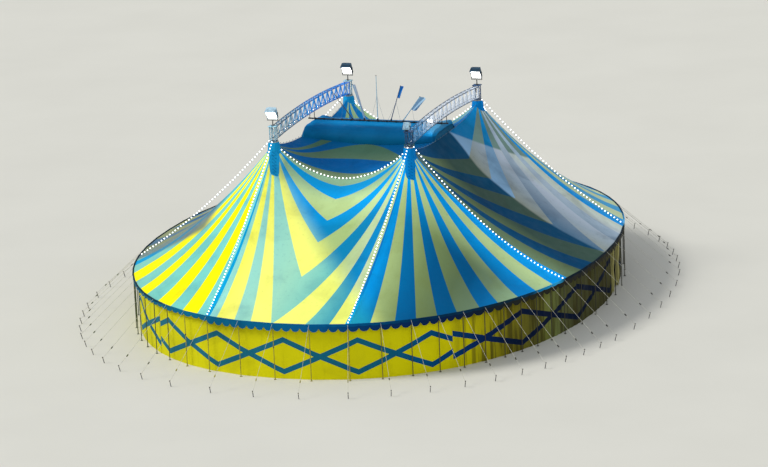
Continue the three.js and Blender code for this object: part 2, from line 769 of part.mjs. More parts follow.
// Cables from a frame round a mast to the rim at the end and at the side, each in a slack curve
function outerCables({ sx, sy }) {
  const frame = STRING_FRAME_HALF;
  const run = (start, end, across) => {
    const points = [];
    for (let i = 0; i <= STRING_STEPS; i += 1) {
      const share = (STRING_END_SHARE * i) / STRING_STEPS;
      const p = start.clone().lerp(end, share);
      const straight = mix(STRING_TOP_Z, RIM_Z + STRING_END_LIFT, share);
      points.push(point(sx * p.x, sy * p.y, straight - 4 * STRING_SAG * share * (1 - share)));
    }
    return cable(points, across, 0);
  };
  const toEnd = run(
    new THREE.Vector2(MAST_X, MAST_Y + frame),
    new THREE.Vector2(MAST_X, rimY(MAST_X)),
    point(1, 0, 0),
  );
  const toSide = run(
    new THREE.Vector2(MAST_X + frame, MAST_Y),
    new THREE.Vector2(rimX(MAST_Y), MAST_Y),
    point(0, 1, 0),
  );
  const z = STRING_TOP_Z + CABLE_HALF;
  const thick = STRING_FRAME_BAR;
  const pieces = [toEnd, toSide];
  for (const side of [-1, 1]) {
    const x = sx * MAST_X + side * frame;
    const y = sy * MAST_Y + side * frame;
    pieces.push(block(thick, 2 * frame + thick, thick, point(x, sy * MAST_Y, z)));
    pieces.push(block(2 * frame, thick - 1, thick - 1, point(sx * MAST_X, y, z)));
  }
  return fuse(pieces);
}

// Cable along the saddle between two masts at the front or back
function saddleCable(sy) {
  const half = ray(new THREE.Vector2(MAST_X, MAST_Y), new THREE.Vector2(0, MAST_Y));
  const xs = half.map((p) => p.x);
  const row = [...xs, ...xs.slice(0, -1).reverse().map((x) => -x)];
  const points = row.map((x) => point(x, sy * MAST_Y, frontRidge(x)));
  return cable(points, point(0, 1, 0), SADDLE_CABLE_LIFT);
}

// Cable along the side ridge under an arch
function ridgeCable(sx) {
  const half = ray(new THREE.Vector2(MAST_X, MAST_Y), new THREE.Vector2(MAST_X, GAP / 2));
  const ys = half.map((p) => p.y);
  const row = [...ys, ...ys.slice(0, -1).reverse().map((y) => -y)];
  const x = sx * (MAST_X + SIDE_CABLE_SHIFT);
  return cable(row.map((y) => point(x, y, sideRidge(y))), point(1, 0, 0), GAP);
}

// Curtain of the entrance, drawn back into a bunch that hangs against a wall's end
function curtain(end, next) {
  const along = next.outer.clone().sub(end.outer).normalize();
  const middle = end.outer.clone().lerp(end.inner, 0.5);
  middle.addScaledVector(along, CURTAIN_RADIUS + 2 * GAP);
  const start = Math.atan2(-along.y, -along.x);
  const count = CURTAIN_FOLDS * 2;
  const section = (z, size) => {
    const loop = [];
    for (let i = 0; i < count; i += 1) {
      const turn = start + (2 * Math.PI * i) / count;
      const reach = CURTAIN_RADIUS * size * (i % 2 ? 1 - CURTAIN_FOLD_DEPTH : 1);
      loop.push(point(middle.x + reach * Math.cos(turn), middle.y + reach * Math.sin(turn), z));
    }
    return loop;
  };
  const top = RIM_Z - CLOTH - GAP;
  return loft([section(0, 1), section(top * CURTAIN_TIE_SHARE, CURTAIN_TIE_SIZE), section(top, 1)]);
}

for (const { name, sx, sy, facing, lampKind } of QUARTERS) {
  const lamp = floodlight(sx * MAST_X, sy * MAST_Y, facing, lampKind);
  addPiece(`mast_${name}`, mast(sx * MAST_X, sy * MAST_Y), MATERIALS.steel);
  addPiece(`floodlight_${name}`, lamp, MATERIALS.lamp);
  addPiece(`canopy_${name}`, quarterCloth({ sx, sy }), MATERIALS.canopy);
  addPiece(`lights_${name}`, outerCables({ sx, sy }), MATERIALS.cable);
}

// The wall of the front right runs on past the middle of the side, up to the entrance
const [frontLeft, frontRight, backRight, backLeft] = QUARTERS.map(wallStations);
const entranceFront = backRight[ENTRANCE_VERTEX + 1];
const entranceBack = backRight[ENTRANCE_VERTEX];
const pastMiddle = [backRight.at(-2), entranceFront];
addPiece('wall_front_left', wall(frontLeft), MATERIALS.wall);
addPiece('wall_front_right', wall([...frontRight, ...pastMiddle]), MATERIALS.wall);
addPiece('wall_back_right', wall(backRight.slice(0, ENTRANCE_VERTEX + 1)), MATERIALS.wall);
addPiece('wall_back_left', wall(backLeft), MATERIALS.wall);
addPiece('entrance_curtain_front', curtain(entranceFront, entranceBack), MATERIALS.wall);
addPiece('entrance_curtain_back', curtain(entranceBack, entranceFront), MATERIALS.wall);

// Quarters of the rim in its order, each with its end and its side vertices
const RIM_PARTS = [
  { name: 'front_right', parts: [['end', END_VERTICES], ['side', SIDE_VERTICES]] },
  { name: 'back_right', parts: [['side', SIDE_VERTICES], ['end', END_VERTICES]] },
  { name: 'back_left', parts: [['end', END_VERTICES], ['side', SIDE_VERTICES]] },
  { name: 'front_left', parts: [['side', SIDE_VERTICES], ['end', END_VERTICES]] },
];
let rimVertex = 0;
for (const { name, parts } of RIM_PARTS) {
  addPiece(`valance_${name}`, valance(rimVertex, QUARTER_BAYS), MATERIALS.valance);
  for (const [part, count] of parts) {
    addPiece(`rim_rigging_${name}_${part}`, rigging(rimVertex, count), MATERIALS.rigging);
    rimVertex += count;
  }
}

addPiece('arch_left', arch(-MAST_X, false), MATERIALS.truss);
addPiece('arch_right', arch(MAST_X, true), MATERIALS.truss);
addPiece('crown_front', crownCloth(-1), MATERIALS.canopy);
addPiece('crown_back', crownCloth(1), MATERIALS.canopy);
addPiece('cupola_hood', hoodCloth(), MATERIALS.hood);
addPiece('cupola_net_left', hoodNet(-1), MATERIALS.net);
addPiece('cupola_net_right', hoodNet(1), MATERIALS.net);
addPiece('ridge_beam', ridgeBeam(), MATERIALS.steel);
addPiece('lights_saddle_front', saddleCable(-1), MATERIALS.cable);
addPiece('lights_saddle_back', saddleCable(1), MATERIALS.cable);
addPiece('lights_ridge_left', ridgeCable(-1), MATERIALS.cable);
addPiece('lights_ridge_right', ridgeCable(1), MATERIALS.cable);

export default group;
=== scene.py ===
from math import atan2, ceil, cos, degrees, exp, hypot, pi, radians, sin, sqrt, tau

import bmesh
import bpy
from mathutils import Matrix, Vector, noise
from mathutils.geometry import area_tri


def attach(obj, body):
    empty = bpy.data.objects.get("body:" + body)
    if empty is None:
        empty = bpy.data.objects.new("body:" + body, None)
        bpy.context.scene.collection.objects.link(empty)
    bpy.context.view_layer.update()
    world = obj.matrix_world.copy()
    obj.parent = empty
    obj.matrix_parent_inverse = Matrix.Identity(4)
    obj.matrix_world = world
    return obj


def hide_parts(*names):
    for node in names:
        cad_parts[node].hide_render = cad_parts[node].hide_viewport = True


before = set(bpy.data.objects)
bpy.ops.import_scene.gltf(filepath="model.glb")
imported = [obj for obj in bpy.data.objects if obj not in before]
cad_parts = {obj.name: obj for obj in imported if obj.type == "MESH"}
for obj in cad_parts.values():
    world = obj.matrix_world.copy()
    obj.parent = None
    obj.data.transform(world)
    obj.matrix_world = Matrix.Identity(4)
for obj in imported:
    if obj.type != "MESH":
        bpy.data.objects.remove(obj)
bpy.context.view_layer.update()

# Four-mast circus big top at 1:2. All lengths are the model's own metres.
UP = Vector((0, 0, 1))
CORNERS = ((-1, -1), (1, -1), (1, 1), (-1, 1))

# A tube that is steeper than this takes its side from another direction than up
STEEP = 0.95
FORWARD = Vector((0, 1, 0))

# Plan and heights, as in the CAD source
MAST_X = 2.55
MAST_Y = 3.85
RIM_X = 8.45
RIM_Y = 11.05
RIM_POWER = 2.16
RIM_Z = 1.97
PEAK_Z = 6.4
MAST_TOP_Z = 7.05
FRONT_SADDLE_DROP = 1.2
SIDE_RIDGE_DROP = 0.375
MAST_HOLLOW = 0.45
SADDLE_HOLLOW = 0.55
HOOD_HALF_WIDTH = 1.15
HOOD_TOP_Z = 6.425
HOOD_EDGE_SAG = 0.185
HOOD_POWER = 2.6
FRONT_BAYS = 2
CORNER_BAYS = 10
SIDE_BAYS = 3
QUARTER_BAYS = FRONT_BAYS + CORNER_BAYS + SIDE_BAYS
END_VERTICES = 8
COLLAR_RADIUS = 0.21
CLOTH = 0.02
SEAM_WIDTH = 1e-6
SHARP_ANGLE = radians(35)

# Cloth as it is made
CANOPY_THICKNESS = 0.003
WALL_THICKNESS = 0.003
TRIM_THICKNESS = 0.002
CANOPY_ROWS = 44
STRIPE_STEP = 2.0
RIPPLE_DEPTH = 0.014
RIPPLE_SCALE = 0.7
PUCKER_DEPTH = 0.010
PUCKER_START = 0.78

# Angles at a mast: where the side panel starts, and between which the cloth reaches the rim
SIDE_PANEL_ANGLE = 92.5
RIM_ANGLES = (-20, 123.2)
BLUE, YELLOW = 0, 1


# Stripes from the front panel round to the side panel, each with the angle at the mast where it ends:
# 0 runs to the front or back and 90 to the side. A seam is a blue of its own.
def stripe_row(kinds, *ends):
    return [(end, "BYS".index(kind)) for kind, end in zip(kinds, ends)]


LEFT_STRIPES = stripe_row(
    "YBYBYBYBYBSBYBYBYBYBSBYBYBYBYS",
    -84, -72.9, -56.6, -43.7, -30.3, -19.1, -13.6, -8.9, -3.3, -0.9, 0.7, 3.8, 10, 16.1, 24.1, 33.9,
    42.1, 52.4, 65.4, 76.5, 83, 92.3, 103.2, 111.9, 123.1, 134, 146, 156, 167, 180)
RIGHT_STRIPES = stripe_row(
    "YBYBYBYBYSBYBYBYBYBYBYBYBYSYS",
    -84, -72.9, -56.6, -43.7, -30.3, -19.5, -11.2, -5, -0.8, 0.4, 6.1, 13.2, 19.7, 26.7, 33.9, 43.1,
    51.6, 61.8, 72.2, 82.7, 92.7, 103.2, 111.9, 123.1, 134, 146, 156, 167, 180)

# Bands of the crown, from the saddle to the hood and on to the side ridge
CROWN_BANDS = [(0.22, YELLOW), (0.64, BLUE), (1.0, YELLOW), (1.29, BLUE), (1.49, YELLOW), (2, BLUE)]
CROWN_STEP = 0.05
CROWN_ROWS = 26

# Peak boots
BOOT_TOP_Z = 6.475
BOOT_TOP_RADIUS = 0.1725
BOOT_LIFT = 0.005
BOOT_REACH = 0.28
TONGUE_LENGTH = 0.875
TONGUE_HALF = 0.18
TONGUE_TURN = radians(20)
BOOT_SIDES = 120
BOOT_ROWS = 12
BOOT_GATHER = 0.006
BOOT_GATHERS = 12
BOOT_SEAT = 0.01
BOOT_START = 0.02
LACE_RADIUS = 0.005
LACES = 30
TONGUE_HOLES = 14
LACE_SWING = 0.4
LACE_START = 0.04
LACE_MARGIN = 0.03

# Hood
HOOD_COLUMNS = 60
HOOD_ROWS = 72
HOOD_FOLD = 0.022
HOOD_ROUND = 0.125
HOOD_END_POWER = 5.0
HOOD_END = 0.45
# Creases along the hood as swing from its top and depth
HOOD_CREASES = [(-0.42, 0.03), (-0.95, 0.05), (0.5, 0.03), (1.0, 0.05)]
CREASE_WIDTH = 0.09
NET_COLUMNS = 24
NET_ROWS = 8
NET_BULGE = 0.03

# Rim hem, poles, guys and stakes
HEM_RADIUS = 0.015
HEM_OFFSET = 0.045
BAND_OFFSET = 0.006
BAND_WIDTH = 0.05
BAND_LOW = -0.024
BAND_HIGH = 0.004
BAND_BEVEL = 0.008
POLE_RADIUS = 0.015
POLE_PAST_RIM = 0.03
POLE_OFFSET = 0.0203
POLE_FOOT = 0.045
POLE_FOOT_HEIGHT = 0.008
CLAMP_LOW = 1.1
CLAMP_HIGH = 1.16
GUY_RADIUS = 0.005
GUY_START_OFFSET = 0.05
STAKE_REACH = 2.0
STAKE_HEIGHT = 0.225
STAKE_LEAN = 0.06
STAKE_RADIUS = 0.013
GUY_TIE_SHARE = 0.8
GUY_KNOT = 0.012
RATCHET_SHARE = 0.82
RATCHET = (0.03, 0.09, 0.03)
RATCHET_BEVEL = 0.006

# Valance
VALANCE_TOP = RIM_Z - 0.0263
VALANCE_DROP = 0.23
VALANCE_OFFSET = 0.048
SCALLOP = 0.36
SCALLOP_DEPTH = 0.12
SCALLOP_WIDTH = 0.88
SCALLOP_STEPS = 12
VALANCE_WAVE = 0.004
# The scallops get smaller towards the left, over a range of X
SMALL_SCALLOP = 0.6
SCALLOP_RANGE = (-2.8, -2.4)

# Wall and its woven bands: two zigzags that cross, so that they leave a row of diamonds
WALL_INSET = 0.125
WALL_GAP = 0.027
WALL_STEP = 0.045
DIAMOND_WIDTH = 2.565
DIAMOND_START = -1.0
DIAMOND_MIDDLE = 0.81
DIAMOND_RISE = 0.56
ZIGZAG_HALF = 0.1
# Breaks of the pattern: where each is, a crossing beyond it and the width of the diamonds there
PANEL_BREAKS = [(-5.53, -6.7, 2.9), (6.2, 7.495, 3.55)]
FOLD_START = 6.2
FOLD_END = 6.7
FOLD_WAVE = 0.4
FOLD_DEPTH = 0.05
QUIET_FOLD = 0.004
CURTAIN_RADIUS = 0.1
CURTAIN_FOLDS = 9
CURTAIN_TURN = 0.94
CURTAIN_GAP = 0.01
# Where the curtain's tie is, how far it draws in and its width
TIE_PLACE = 0.45
TIE_DEPTH = 0.42
TIE_WIDTH = 0.14
ENTRANCE_VERTEX = QUARTER_BAYS - 1

# Masts
MAST_HALF = 0.1
CHORD_RADIUS = 0.0175
BRACE_RADIUS = 0.007
MAST_PANEL = 0.225
FOOT_HALF = 0.225
FOOT_HEIGHT = 0.03
HEAD_HALF = 0.15
HEAD_HEIGHT = 0.025
RING_TUBE = 0.018
RING_TIE = 0.012
RING_DEPTH = 0.16
RING_DROP = 0.08
RING_INSET = 0.03
BOLT_RADIUS = 0.02
BOLT_HEIGHT = 0.025
FOOT_BEVEL = 0.03
HEAD_BEVEL = 0.02
HOOP_OUT = 0.004
HOOP_TUBE = 0.009

# Arched trusses
ARCH_DEPTH = 0.425
ARCH_HALF_WIDTH = 0.09
ARCH_RISE = 0.175
ARCH_TOP_Z = 7.0
ARCH_PANELS = 32
ARCH_LAMP_SHARE = 0.375
ARCH_BRACE_RADIUS = 0.013

# Ridge beam and flag poles, as x at the foot and at the top, height and finish
BEAM_RADIUS = 0.0275
BEAM_HALF_LENGTH = 2.7
BEAM_LIFT = 0.0303
BEAM_CLAMPS = 15
CLAMP_HALF = 0.025
HANGER_RADIUS = 0.014
KNOB_RADIUS = 0.018
STAY_RADIUS = 0.0035
FLAG_POLE_RADIUS = 0.0175
FLAG_POLES = [(-0.95, -1.65, 7.425, 1), (-0.5, -0.925, 7.8, 3), (0.0, 0.0, 8.15, 3),
              (0.5, 0.925, 7.8, 4), (0.95, 1.65, 7.425, 3)]
STAY_REACH = 0.25

# Lights
BULB_PITCH = 0.14
BULB_RADIUS = 0.023
BULB_LIFT = 0.03
SOCKET_RADIUS = 0.009
SOCKET_HEIGHT = 0.02
RIDGE_PITCH = 0.3
RIDGE_RADIUS = 0.012
CABLE_RADIUS = 0.004
CABLE_LIFT = 0.012
STRING_TOP_Z = 6.5
STRING_SAG = 0.3
LOOSE_SAG = 0.575
STRING_END_LIFT = 0.008
STRING_FRAME_HALF = 0.12465
STRING_FRAME_WIRE = 0.0065
STRING_STEPS = 40
LAMP_SIZE = Vector((0.375, 0.2, 0.4))
LAMP_TILT = 0.5
LAMP_POST = 0.02
LAMP_FORK = 0.012
VISOR = 0.3
# Size, height above the mast head and shift to the side of a floodlight
LARGE_LAMP = (1.0, 0.475, 0.0)
SMALL_LAMP = (0.65, 0.175, -0.075)

# Tones of the cloth: the slanting edge between the lit and the shade side, and the strip that the
# side strings light up
SHADE_SLANT = 0.9
SHADE_EDGE = (-6.6, -5.1)
NEAR_STRING = (-6.2, -4.2)
CLOTH_SHEEN = 0.04
TONE_DRIFT = 0.8
HOOD_DRIFT = 0.08
SIDE_DRIFT = 0.14
# How the painted light and shade tones bend at the side ridge and at the right end of the hood
SIDE_BEND = (2.6, 4.1, 0.6, 0.0)
HOOD_BEND = (1.5, 2.2, 0.0, -0.16)
# The line on the right side, above which the cloth lies in the shade of the far mast's peak
UPPER_SLANT = 1.67
UPPER_EDGE = (-3.86, -3.64)
# The far left strip in shade, and the dim cloth next to the front saddle
FAR_SLANT = 0.41
FAR_EDGE = (-7.8, -7.3)
FAR_START = (-4.2, -4.9)
FAR_END = (-3.2, -3.5)
SADDLE_DIM = (-4.9, -4.05)
SADDLE_END = (2.4, 2.0)

# Camera, from the photograph's own perspective
IMAGE_WIDTH = 768
SENSOR = 36.0
FOCAL_PIXELS = 3314.5
CAMERA_PLACE = Vector((40.655, -110.2, 32.86))
CAMERA_YAW = -0.353
CAMERA_PITCH = radians(14.62)
CAMERA_ROLL = radians(-2.42)
VIEW_LIMIT = 1000

# Floor and sky
FLOOR_SIZE = 900
FLOOR_Z = -0.002
SKY_COLOUR = (0.9, 0.95, 1.0, 1)
SKY_STRENGTH = 0.55

# Quarters with the signs of their x and y, the way their floodlight faces and its kind, and
# the sag of their side string
QUARTERS = [
    ("front_left", -1, -1, -1, LARGE_LAMP, STRING_SAG),
    ("front_right", 1, -1, 1, SMALL_LAMP, LOOSE_SAG),
    ("back_right", 1, 1, -1, LARGE_LAMP, STRING_SAG),
    ("back_left", -1, 1, -1, LARGE_LAMP, STRING_SAG),
]


def mix(low, high, share):
    return low + (high - low) * share


def spread(low, high, steps):
    """Evenly spread values from low to high, both of them included."""
    return [mix(low, high, i / steps) for i in range(steps + 1)]


def stations(edges, step):
    """The edges in order, with even steps of no more than a length between them."""
    row = sorted(edges)
    places = []
    for low, high in zip(row, row[1:]):
        places.extend(spread(low, high, ceil((high - low) / step))[:-1])
    return [*places, row[-1]]


def last_inside(inside, far):
    """The furthest value up to far for which inside(value) still holds."""
    near = 0.0
    for _ in range(40):
        middle = (near + far) / 2
        near, far = (middle, far) if inside(middle) else (near, middle)
    return near


def kind_at(stripes, place):
    return next(kind for end, kind in stripes if place < end)


def smooth(low, high, value):
    share = min(1.0, max(0.0, (value - low) / (high - low)))
    return share * share * (3 - 2 * share)


# Shape of the cloth, as in the CAD source
def rim_y(x):
    return RIM_Y * max(0.0, 1 - (abs(x) / RIM_X) ** RIM_POWER) ** (1 / RIM_POWER)


def rim_x(y):
    return RIM_X * max(0.0, 1 - (abs(y) / RIM_Y) ** RIM_POWER) ** (1 / RIM_POWER)


def rim_reach(angle):
    """Distance from a mast to the rim, at an angle from the front or back towards the side."""
    def inside(reach):
        x, y = MAST_X + reach * sin(angle), MAST_Y + reach * cos(angle)
        return (abs(x) / RIM_X) ** RIM_POWER + (abs(y) / RIM_Y) ** RIM_POWER < 1

    return last_inside(inside, RIM_Y)


def hang(share, hollow):
    return (1 - share) * (1 - hollow * share)


def front_ridge(x):
    return PEAK_Z - FRONT_SADDLE_DROP * (1 - (abs(x) / MAST_X) ** 2)


def side_ridge(y):
    return PEAK_Z - SIDE_RIDGE_DROP * (1 - (abs(y) / MAST_Y) ** 3)


def hood_edge(x):
    return side_ridge(HOOD_HALF_WIDTH) - HOOD_EDGE_SAG * (1 - (abs(x) / MAST_X) ** 2)


def cloth_z(x, y):
    """Height of the canopy outside the masts."""
    x, y = abs(x), abs(y)
    if x > MAST_X and y > MAST_Y:
        reach = hypot(x - MAST_X, y - MAST_Y)
        whole = rim_reach(atan2(x - MAST_X, y - MAST_Y))
        return mix(RIM_Z, PEAK_Z, hang(min(1, reach / whole), MAST_HOLLOW))
    if y > MAST_Y - SEAM_WIDTH and x < MAST_X + SEAM_WIDTH:
        share = min(1, max(0, (y - MAST_Y) / (rim_y(x) - MAST_Y)))
        hollow = mix(SADDLE_HOLLOW, MAST_HOLLOW, x / MAST_X)
        return mix(RIM_Z, front_ridge(x), hang(share, hollow))
    share = min(1, max(0, (x - MAST_X) / (rim_x(y) - MAST_X)))
    return mix(RIM_Z, side_ridge(y), hang(share, MAST_HOLLOW))


def crown_z(x, y):
    """Height of the crown cloth between a saddle and the hood."""
    share = (MAST_Y - abs(y)) / (MAST_Y - HOOD_HALF_WIDTH)
    ruled = mix(front_ridge(x), hood_edge(x), share)
    return ruled + side_ridge(y) - mix(PEAK_Z, side_ridge(HOOD_HALF_WIDTH), share)


def top_z(x, y):
    outside = abs(x) > MAST_X or abs(y) > MAST_Y
    return cloth_z(x, y) if outside else crown_z(x, y)


def ripple(x, y):
    return RIPPLE_DEPTH * noise.noise(Vector((x * RIPPLE_SCALE, y * RIPPLE_SCALE, 0.4)))


def on_cloth(x, y, lift):
    return Vector((x, y, top_z(x, y) + ripple(x, y) + lift))


def arch_top(y):
    return ARCH_TOP_Z + ARCH_RISE * (1 - (y / MAST_Y) ** 2)


def quarter_rim():
    """Rim vertices of one quarter in its own positive corner, front middle first."""
    points = []
    for i in range(FRONT_BAYS):
        x = MAST_X * i / FRONT_BAYS
        points.append(Vector((x, rim_y(x))))
    for i in range(CORNER_BAYS + 1):
        angle = pi / 2 * i / CORNER_BAYS
        reach = rim_reach(angle)
        points.append(Vector((MAST_X + reach * sin(angle), MAST_Y + reach * cos(angle))))
    for i in range(SIDE_BAYS - 1, -1, -1):
        y = MAST_Y * i / SIDE_BAYS
        points.append(Vector((rim_x(y), y)))
    return points


RIM_QUARTER = quarter_rim()
MAST = Vector((MAST_X, MAST_Y))


def whole_rim():
    """The whole rim, anticlockwise from the middle of the front."""
    rim = []
    for sx, sy in ((1, -1), (1, 1), (-1, 1), (-1, -1)):
        quarter = RIM_QUARTER if sx * sy < 0 else reversed(RIM_QUARTER)
        rim.extend([Vector((sx * p.x, sy * p.y)) for p in quarter][:-1])
    return rim


RIM = whole_rim()


def rim_offset(k, distance):
    """Vertex k of the rim, moved outwards by an even distance."""
    count = len(RIM)
    before, here, after = RIM[(k - 1) % count], RIM[k % count], RIM[(k + 1) % count]
    first = Vector((here.y - before.y, before.x - here.x)).normalized()
    second = Vector((after.y - here.y, here.x - after.x)).normalized()
    middle = (first + second).normalized()
    return here + middle * (distance / middle.dot(first))


def rim_between(k, share, distance):
    return rim_offset(k, distance).lerp(rim_offset(k + 1, distance), share)


def ray_end(angle):
    """Where a ray from the mast ends: on a middle seam or on the straight bays of the rim."""
    run = Vector((sin(angle), cos(angle)))
    ends = [own / -part for own, part in zip(MAST, run) if part < -1e-6]
    for a, b in zip(RIM_QUARTER, RIM_QUARTER[1:]):
        side, to = b - a, a - MAST
        crossing = run.cross(side)
        if abs(crossing) < 1e-9:
            continue
        reach, share = to.cross(side) / crossing, to.cross(run) / crossing
        if reach > 0 and -1e-6 <= share <= 1 + 1e-6:
            ends.append(reach)
    return MAST + run * min(ends)


# Mesh building
def placed(name, data):
    """A new object in the scene."""
    made = bpy.data.objects.new(name, data)
    bpy.context.scene.collection.objects.link(made)
    return made


def lattice(place, rows, columns):
    """Rows of points, each place(u, v) of two shares from 0 to 1."""
    return [[place(u, v) for v in spread(0, 1, columns)] for u in spread(0, 1, rows)]


def sides_of(points):
    """Each point of a ring with the next one."""
    return zip(points, points[1:] + points[:1])


def circle(centre, radius, count):
    """Points of a level circle."""
    return [centre + Vector((cos(tau * k / count), sin(tau * k / count), 0)) * radius
            for k in range(count)]


def square(centre, half):
    """Corners of a level square."""
    return [centre + Vector((u, v, 0)) * half for u, v in CORNERS]


class Shape:
    """Points and faces of one piece, with the number of each face's finish."""

    def __init__(self):
        self.points = []
        self.faces = []
        self.finishes = []

    def add(self, face, finish):
        self.faces.append(tuple(face))
        self.finishes.append(finish)

    def grid(self, rows, finish=None, ring=False):
        """Sheet through rows of points. finish(i, j) gives the finish of a cell."""
        columns = len(rows[0])
        start = len(self.points)
        for i, row in enumerate(rows):
            self.points.extend(row)
            if i == 0:
                continue
            a, b = start + (i - 1) * columns, start + i * columns
            for j in range(columns if ring else columns - 1):
                k = (j + 1) % columns
                self.add((a + j, a + k, b + k, b + j), finish(i - 1, j) if finish else 0)
        return self

    def solid(self, rings, finish=0):
        """Closed body through rings of points."""
        first, count = len(self.points), len(rings[0])
        self.grid(rings, lambda i, j: finish, ring=True)
        last = len(self.points) - count
        self.add(reversed(range(first, first + count)), finish)
        self.add(range(last, last + count), finish)

    def tube(self, path, radius, sides, finish=0):
        """Round tube along a path. The radius may be one number or one for each point."""
        radii = radius if isinstance(radius, list) else [radius] * len(path)
        turns = [tau * k / sides for k in range(sides)]
        rings = []
        for i, p in enumerate(path):
            along = (path[min(i + 1, len(path) - 1)] - path[max(i - 1, 0)]).normalized()
            side = along.cross(UP if abs(along.z) < STEEP else FORWARD).normalized()
            rise = side.cross(along)
            rings.append([p + (side * cos(turn) + rise * sin(turn)) * radii[i] for turn in turns])
        self.solid(rings, finish)

    def block(self, centre, size, turn, finish, bevel):
        """Box with its upright edges cut off by bevel."""
        half = Vector(size) / 2
        bevel = min(bevel, half.x * 0.9, half.y * 0.9)
        outline = []
        for sx, sy in CORNERS:
            near = Vector((sx * (half.x - bevel), sy * half.y, 0))
            far = Vector((sx * half.x, sy * (half.y - bevel), 0))
            outline.extend([far, near] if sx * sy > 0 else [near, far])
            if bevel == 0:
                outline.pop()
        turn = turn or Matrix.Identity(3)
        self.solid([[Vector(centre) + turn @ (p + UP * z) for p in outline] for z in (-half.z, half.z)],
                   finish)

    def ball(self, centre, radius, finish, sides=6, rings=3):
        rows = []
        for i in range(rings + 2):
            tilt = pi * (i / (rings + 1) - 0.5)
            rows.append(circle(centre + UP * radius * sin(tilt), radius * cos(tilt), sides))
        self.grid(rows, lambda i, j: finish, ring=True)

    def area(self):
        total = 0.0
        for face in self.faces:
            a, *others = [self.points[i] for i in face]
            total += sum(area_tri(a, b, c) for b, c in zip(others, others[1:]))
        return total


def make(name, shape, finishes, replaces, thickness=0.0, towards=None):
    """Makes a piece from a shape. A sheet is turned towards a point or direction and thickened."""
    mesh = bpy.data.meshes.new(name)
    mesh.from_pydata(shape.points, [], shape.faces)
    for finish in finishes:
        mesh.materials.append(finish)
    mesh.polygons.foreach_set("material_index", shape.finishes)
    body = bmesh.new()
    body.from_mesh(mesh)
    bmesh.ops.remove_doubles(body, verts=body.verts, dist=1e-6)
    bmesh.ops.recalc_face_normals(body, faces=body.faces)
    if thickness:
        facing = sum(f.normal.dot(towards(f.calc_center_median())) * f.calc_area() for f in body.faces)
        if facing < 0:
            bmesh.ops.reverse_faces(body, faces=body.faces)
    for face in body.faces:
        face.smooth = True
    for edge in body.edges:
        edge.smooth = len(edge.link_faces) == 2 and edge.calc_face_angle() < SHARP_ANGLE
    body.to_mesh(mesh)
    body.free()
    piece = placed(name, mesh)
    if thickness:
        solid = piece.modifiers.new("thickness", "SOLIDIFY")
        solid.thickness = thickness
        solid.offset = -1
    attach(piece, "root")
    if replaces:
        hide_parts(*replaces)
    return piece


def upwards(place):
    return UP


def outwards(place):
    return Vector((place.x, place.y, 0)).normalized()


# Materials
class Finish:
    """A material and short ways to add its nodes."""

    def __init__(self, name, roughness, metallic=0.0, specular=0.5):
        self.material = bpy.data.materials.new(name)
        self.material.use_nodes = True
        self.tree = self.material.node_tree
        self.surface({"Roughness": roughness, "Metallic": metallic, "Specular IOR Level": specular})
        self.place = self.node("TexCoord").outputs["Object"]

    def feed(self, node, inputs):
        """Each input is a number, a colour or vector, or the socket that it comes from."""
        for name, value in inputs.items():
            socket = node.inputs[name]
            if isinstance(value, bpy.types.NodeSocket):
                self.tree.links.new(value, socket)
            else:
                socket.default_value = (*value, 1) if socket.type == "RGBA" else value

    def surface(self, inputs):
        self.feed(self.tree.nodes["Principled BSDF"], inputs)

    def node(self, kind, inputs=None, **settings):
        made = self.tree.nodes.new("ShaderNode" + kind)
        for name, value in settings.items():
            setattr(made, name, value)
        self.feed(made, inputs or {})
        return made

    def noise(self, scale, detail=3.0, stretch=(1, 1, 1), distortion=0.0):
        """Noise from 0 to 1 over the object."""
        place = self.node("Mapping", {"Vector": self.place, "Scale": stretch}).outputs["Vector"]
        inputs = {"Vector": place, "Scale": scale, "Detail": detail, "Distortion": distortion}
        return self.node("TexNoise", inputs).outputs["Fac"]

    def ranged(self, value, low, high, to_low=0.0, to_high=1.0, kind="SMOOTHSTEP"):
        inputs = {"Value": value, "From Min": low, "From Max": high, "To Min": to_low, "To Max": to_high}
        return self.node("MapRange", inputs, interpolation_type=kind).outputs["Result"]

    def math(self, operation, a, b):
        return self.node("Math", {0: a, 1: b}, operation=operation).outputs["Value"]

    def product(self, *values):
        result = values[0]
        for value in values[1:]:
            result = self.math("MULTIPLY", result, value)
        return result

    def wander(self, size):
        """A slow drift up and down over the object."""
        return self.product(self.math("SUBTRACT", self.noise(0.35, 2.0), 0.5), size)

    def ramp(self, value, tones):
        """Runs through tones, each a place on the value's range and a colour as seen on a screen."""
        low, high = tones[0][0], tones[-1][0]
        made = self.node("ValToRGB", {"Fac": self.ranged(value, low, high, kind="LINEAR")})
        steps = made.color_ramp.elements
        while len(steps) < len(tones):
            steps.new(0.5)
        for step, (place, *colour) in zip(steps, tones):
            step.position = (place - low) / (high - low)
            step.color = (*from_screen(*colour), 1)
        return made.outputs["Color"]

    def blend(self, share, a, b):
        """Mixes colours. Each is a colour or a socket."""
        return self.node("Mix", {"Factor": share, 6: a, 7: b}, data_type="RGBA").outputs[2]

    def axis(self, name):
        return self.node("SeparateXYZ", {0: self.place}).outputs[name]

    def bump(self, height, distance, strength):
        inputs = {"Height": height, "Distance": distance, "Strength": strength}
        self.surface({"Normal": self.node("Bump", inputs).outputs["Normal"]})


def from_screen(red, green, blue):
    """A colour as seen on a screen, from 0 to 255, as the linear colour of a shader."""
    def linear(value):
        value /= 255
        return value / 12.92 if value <= 0.04045 else ((value + 0.055) / 1.055) ** 2.4
    return tuple(linear(v) for v in (red, green, blue))


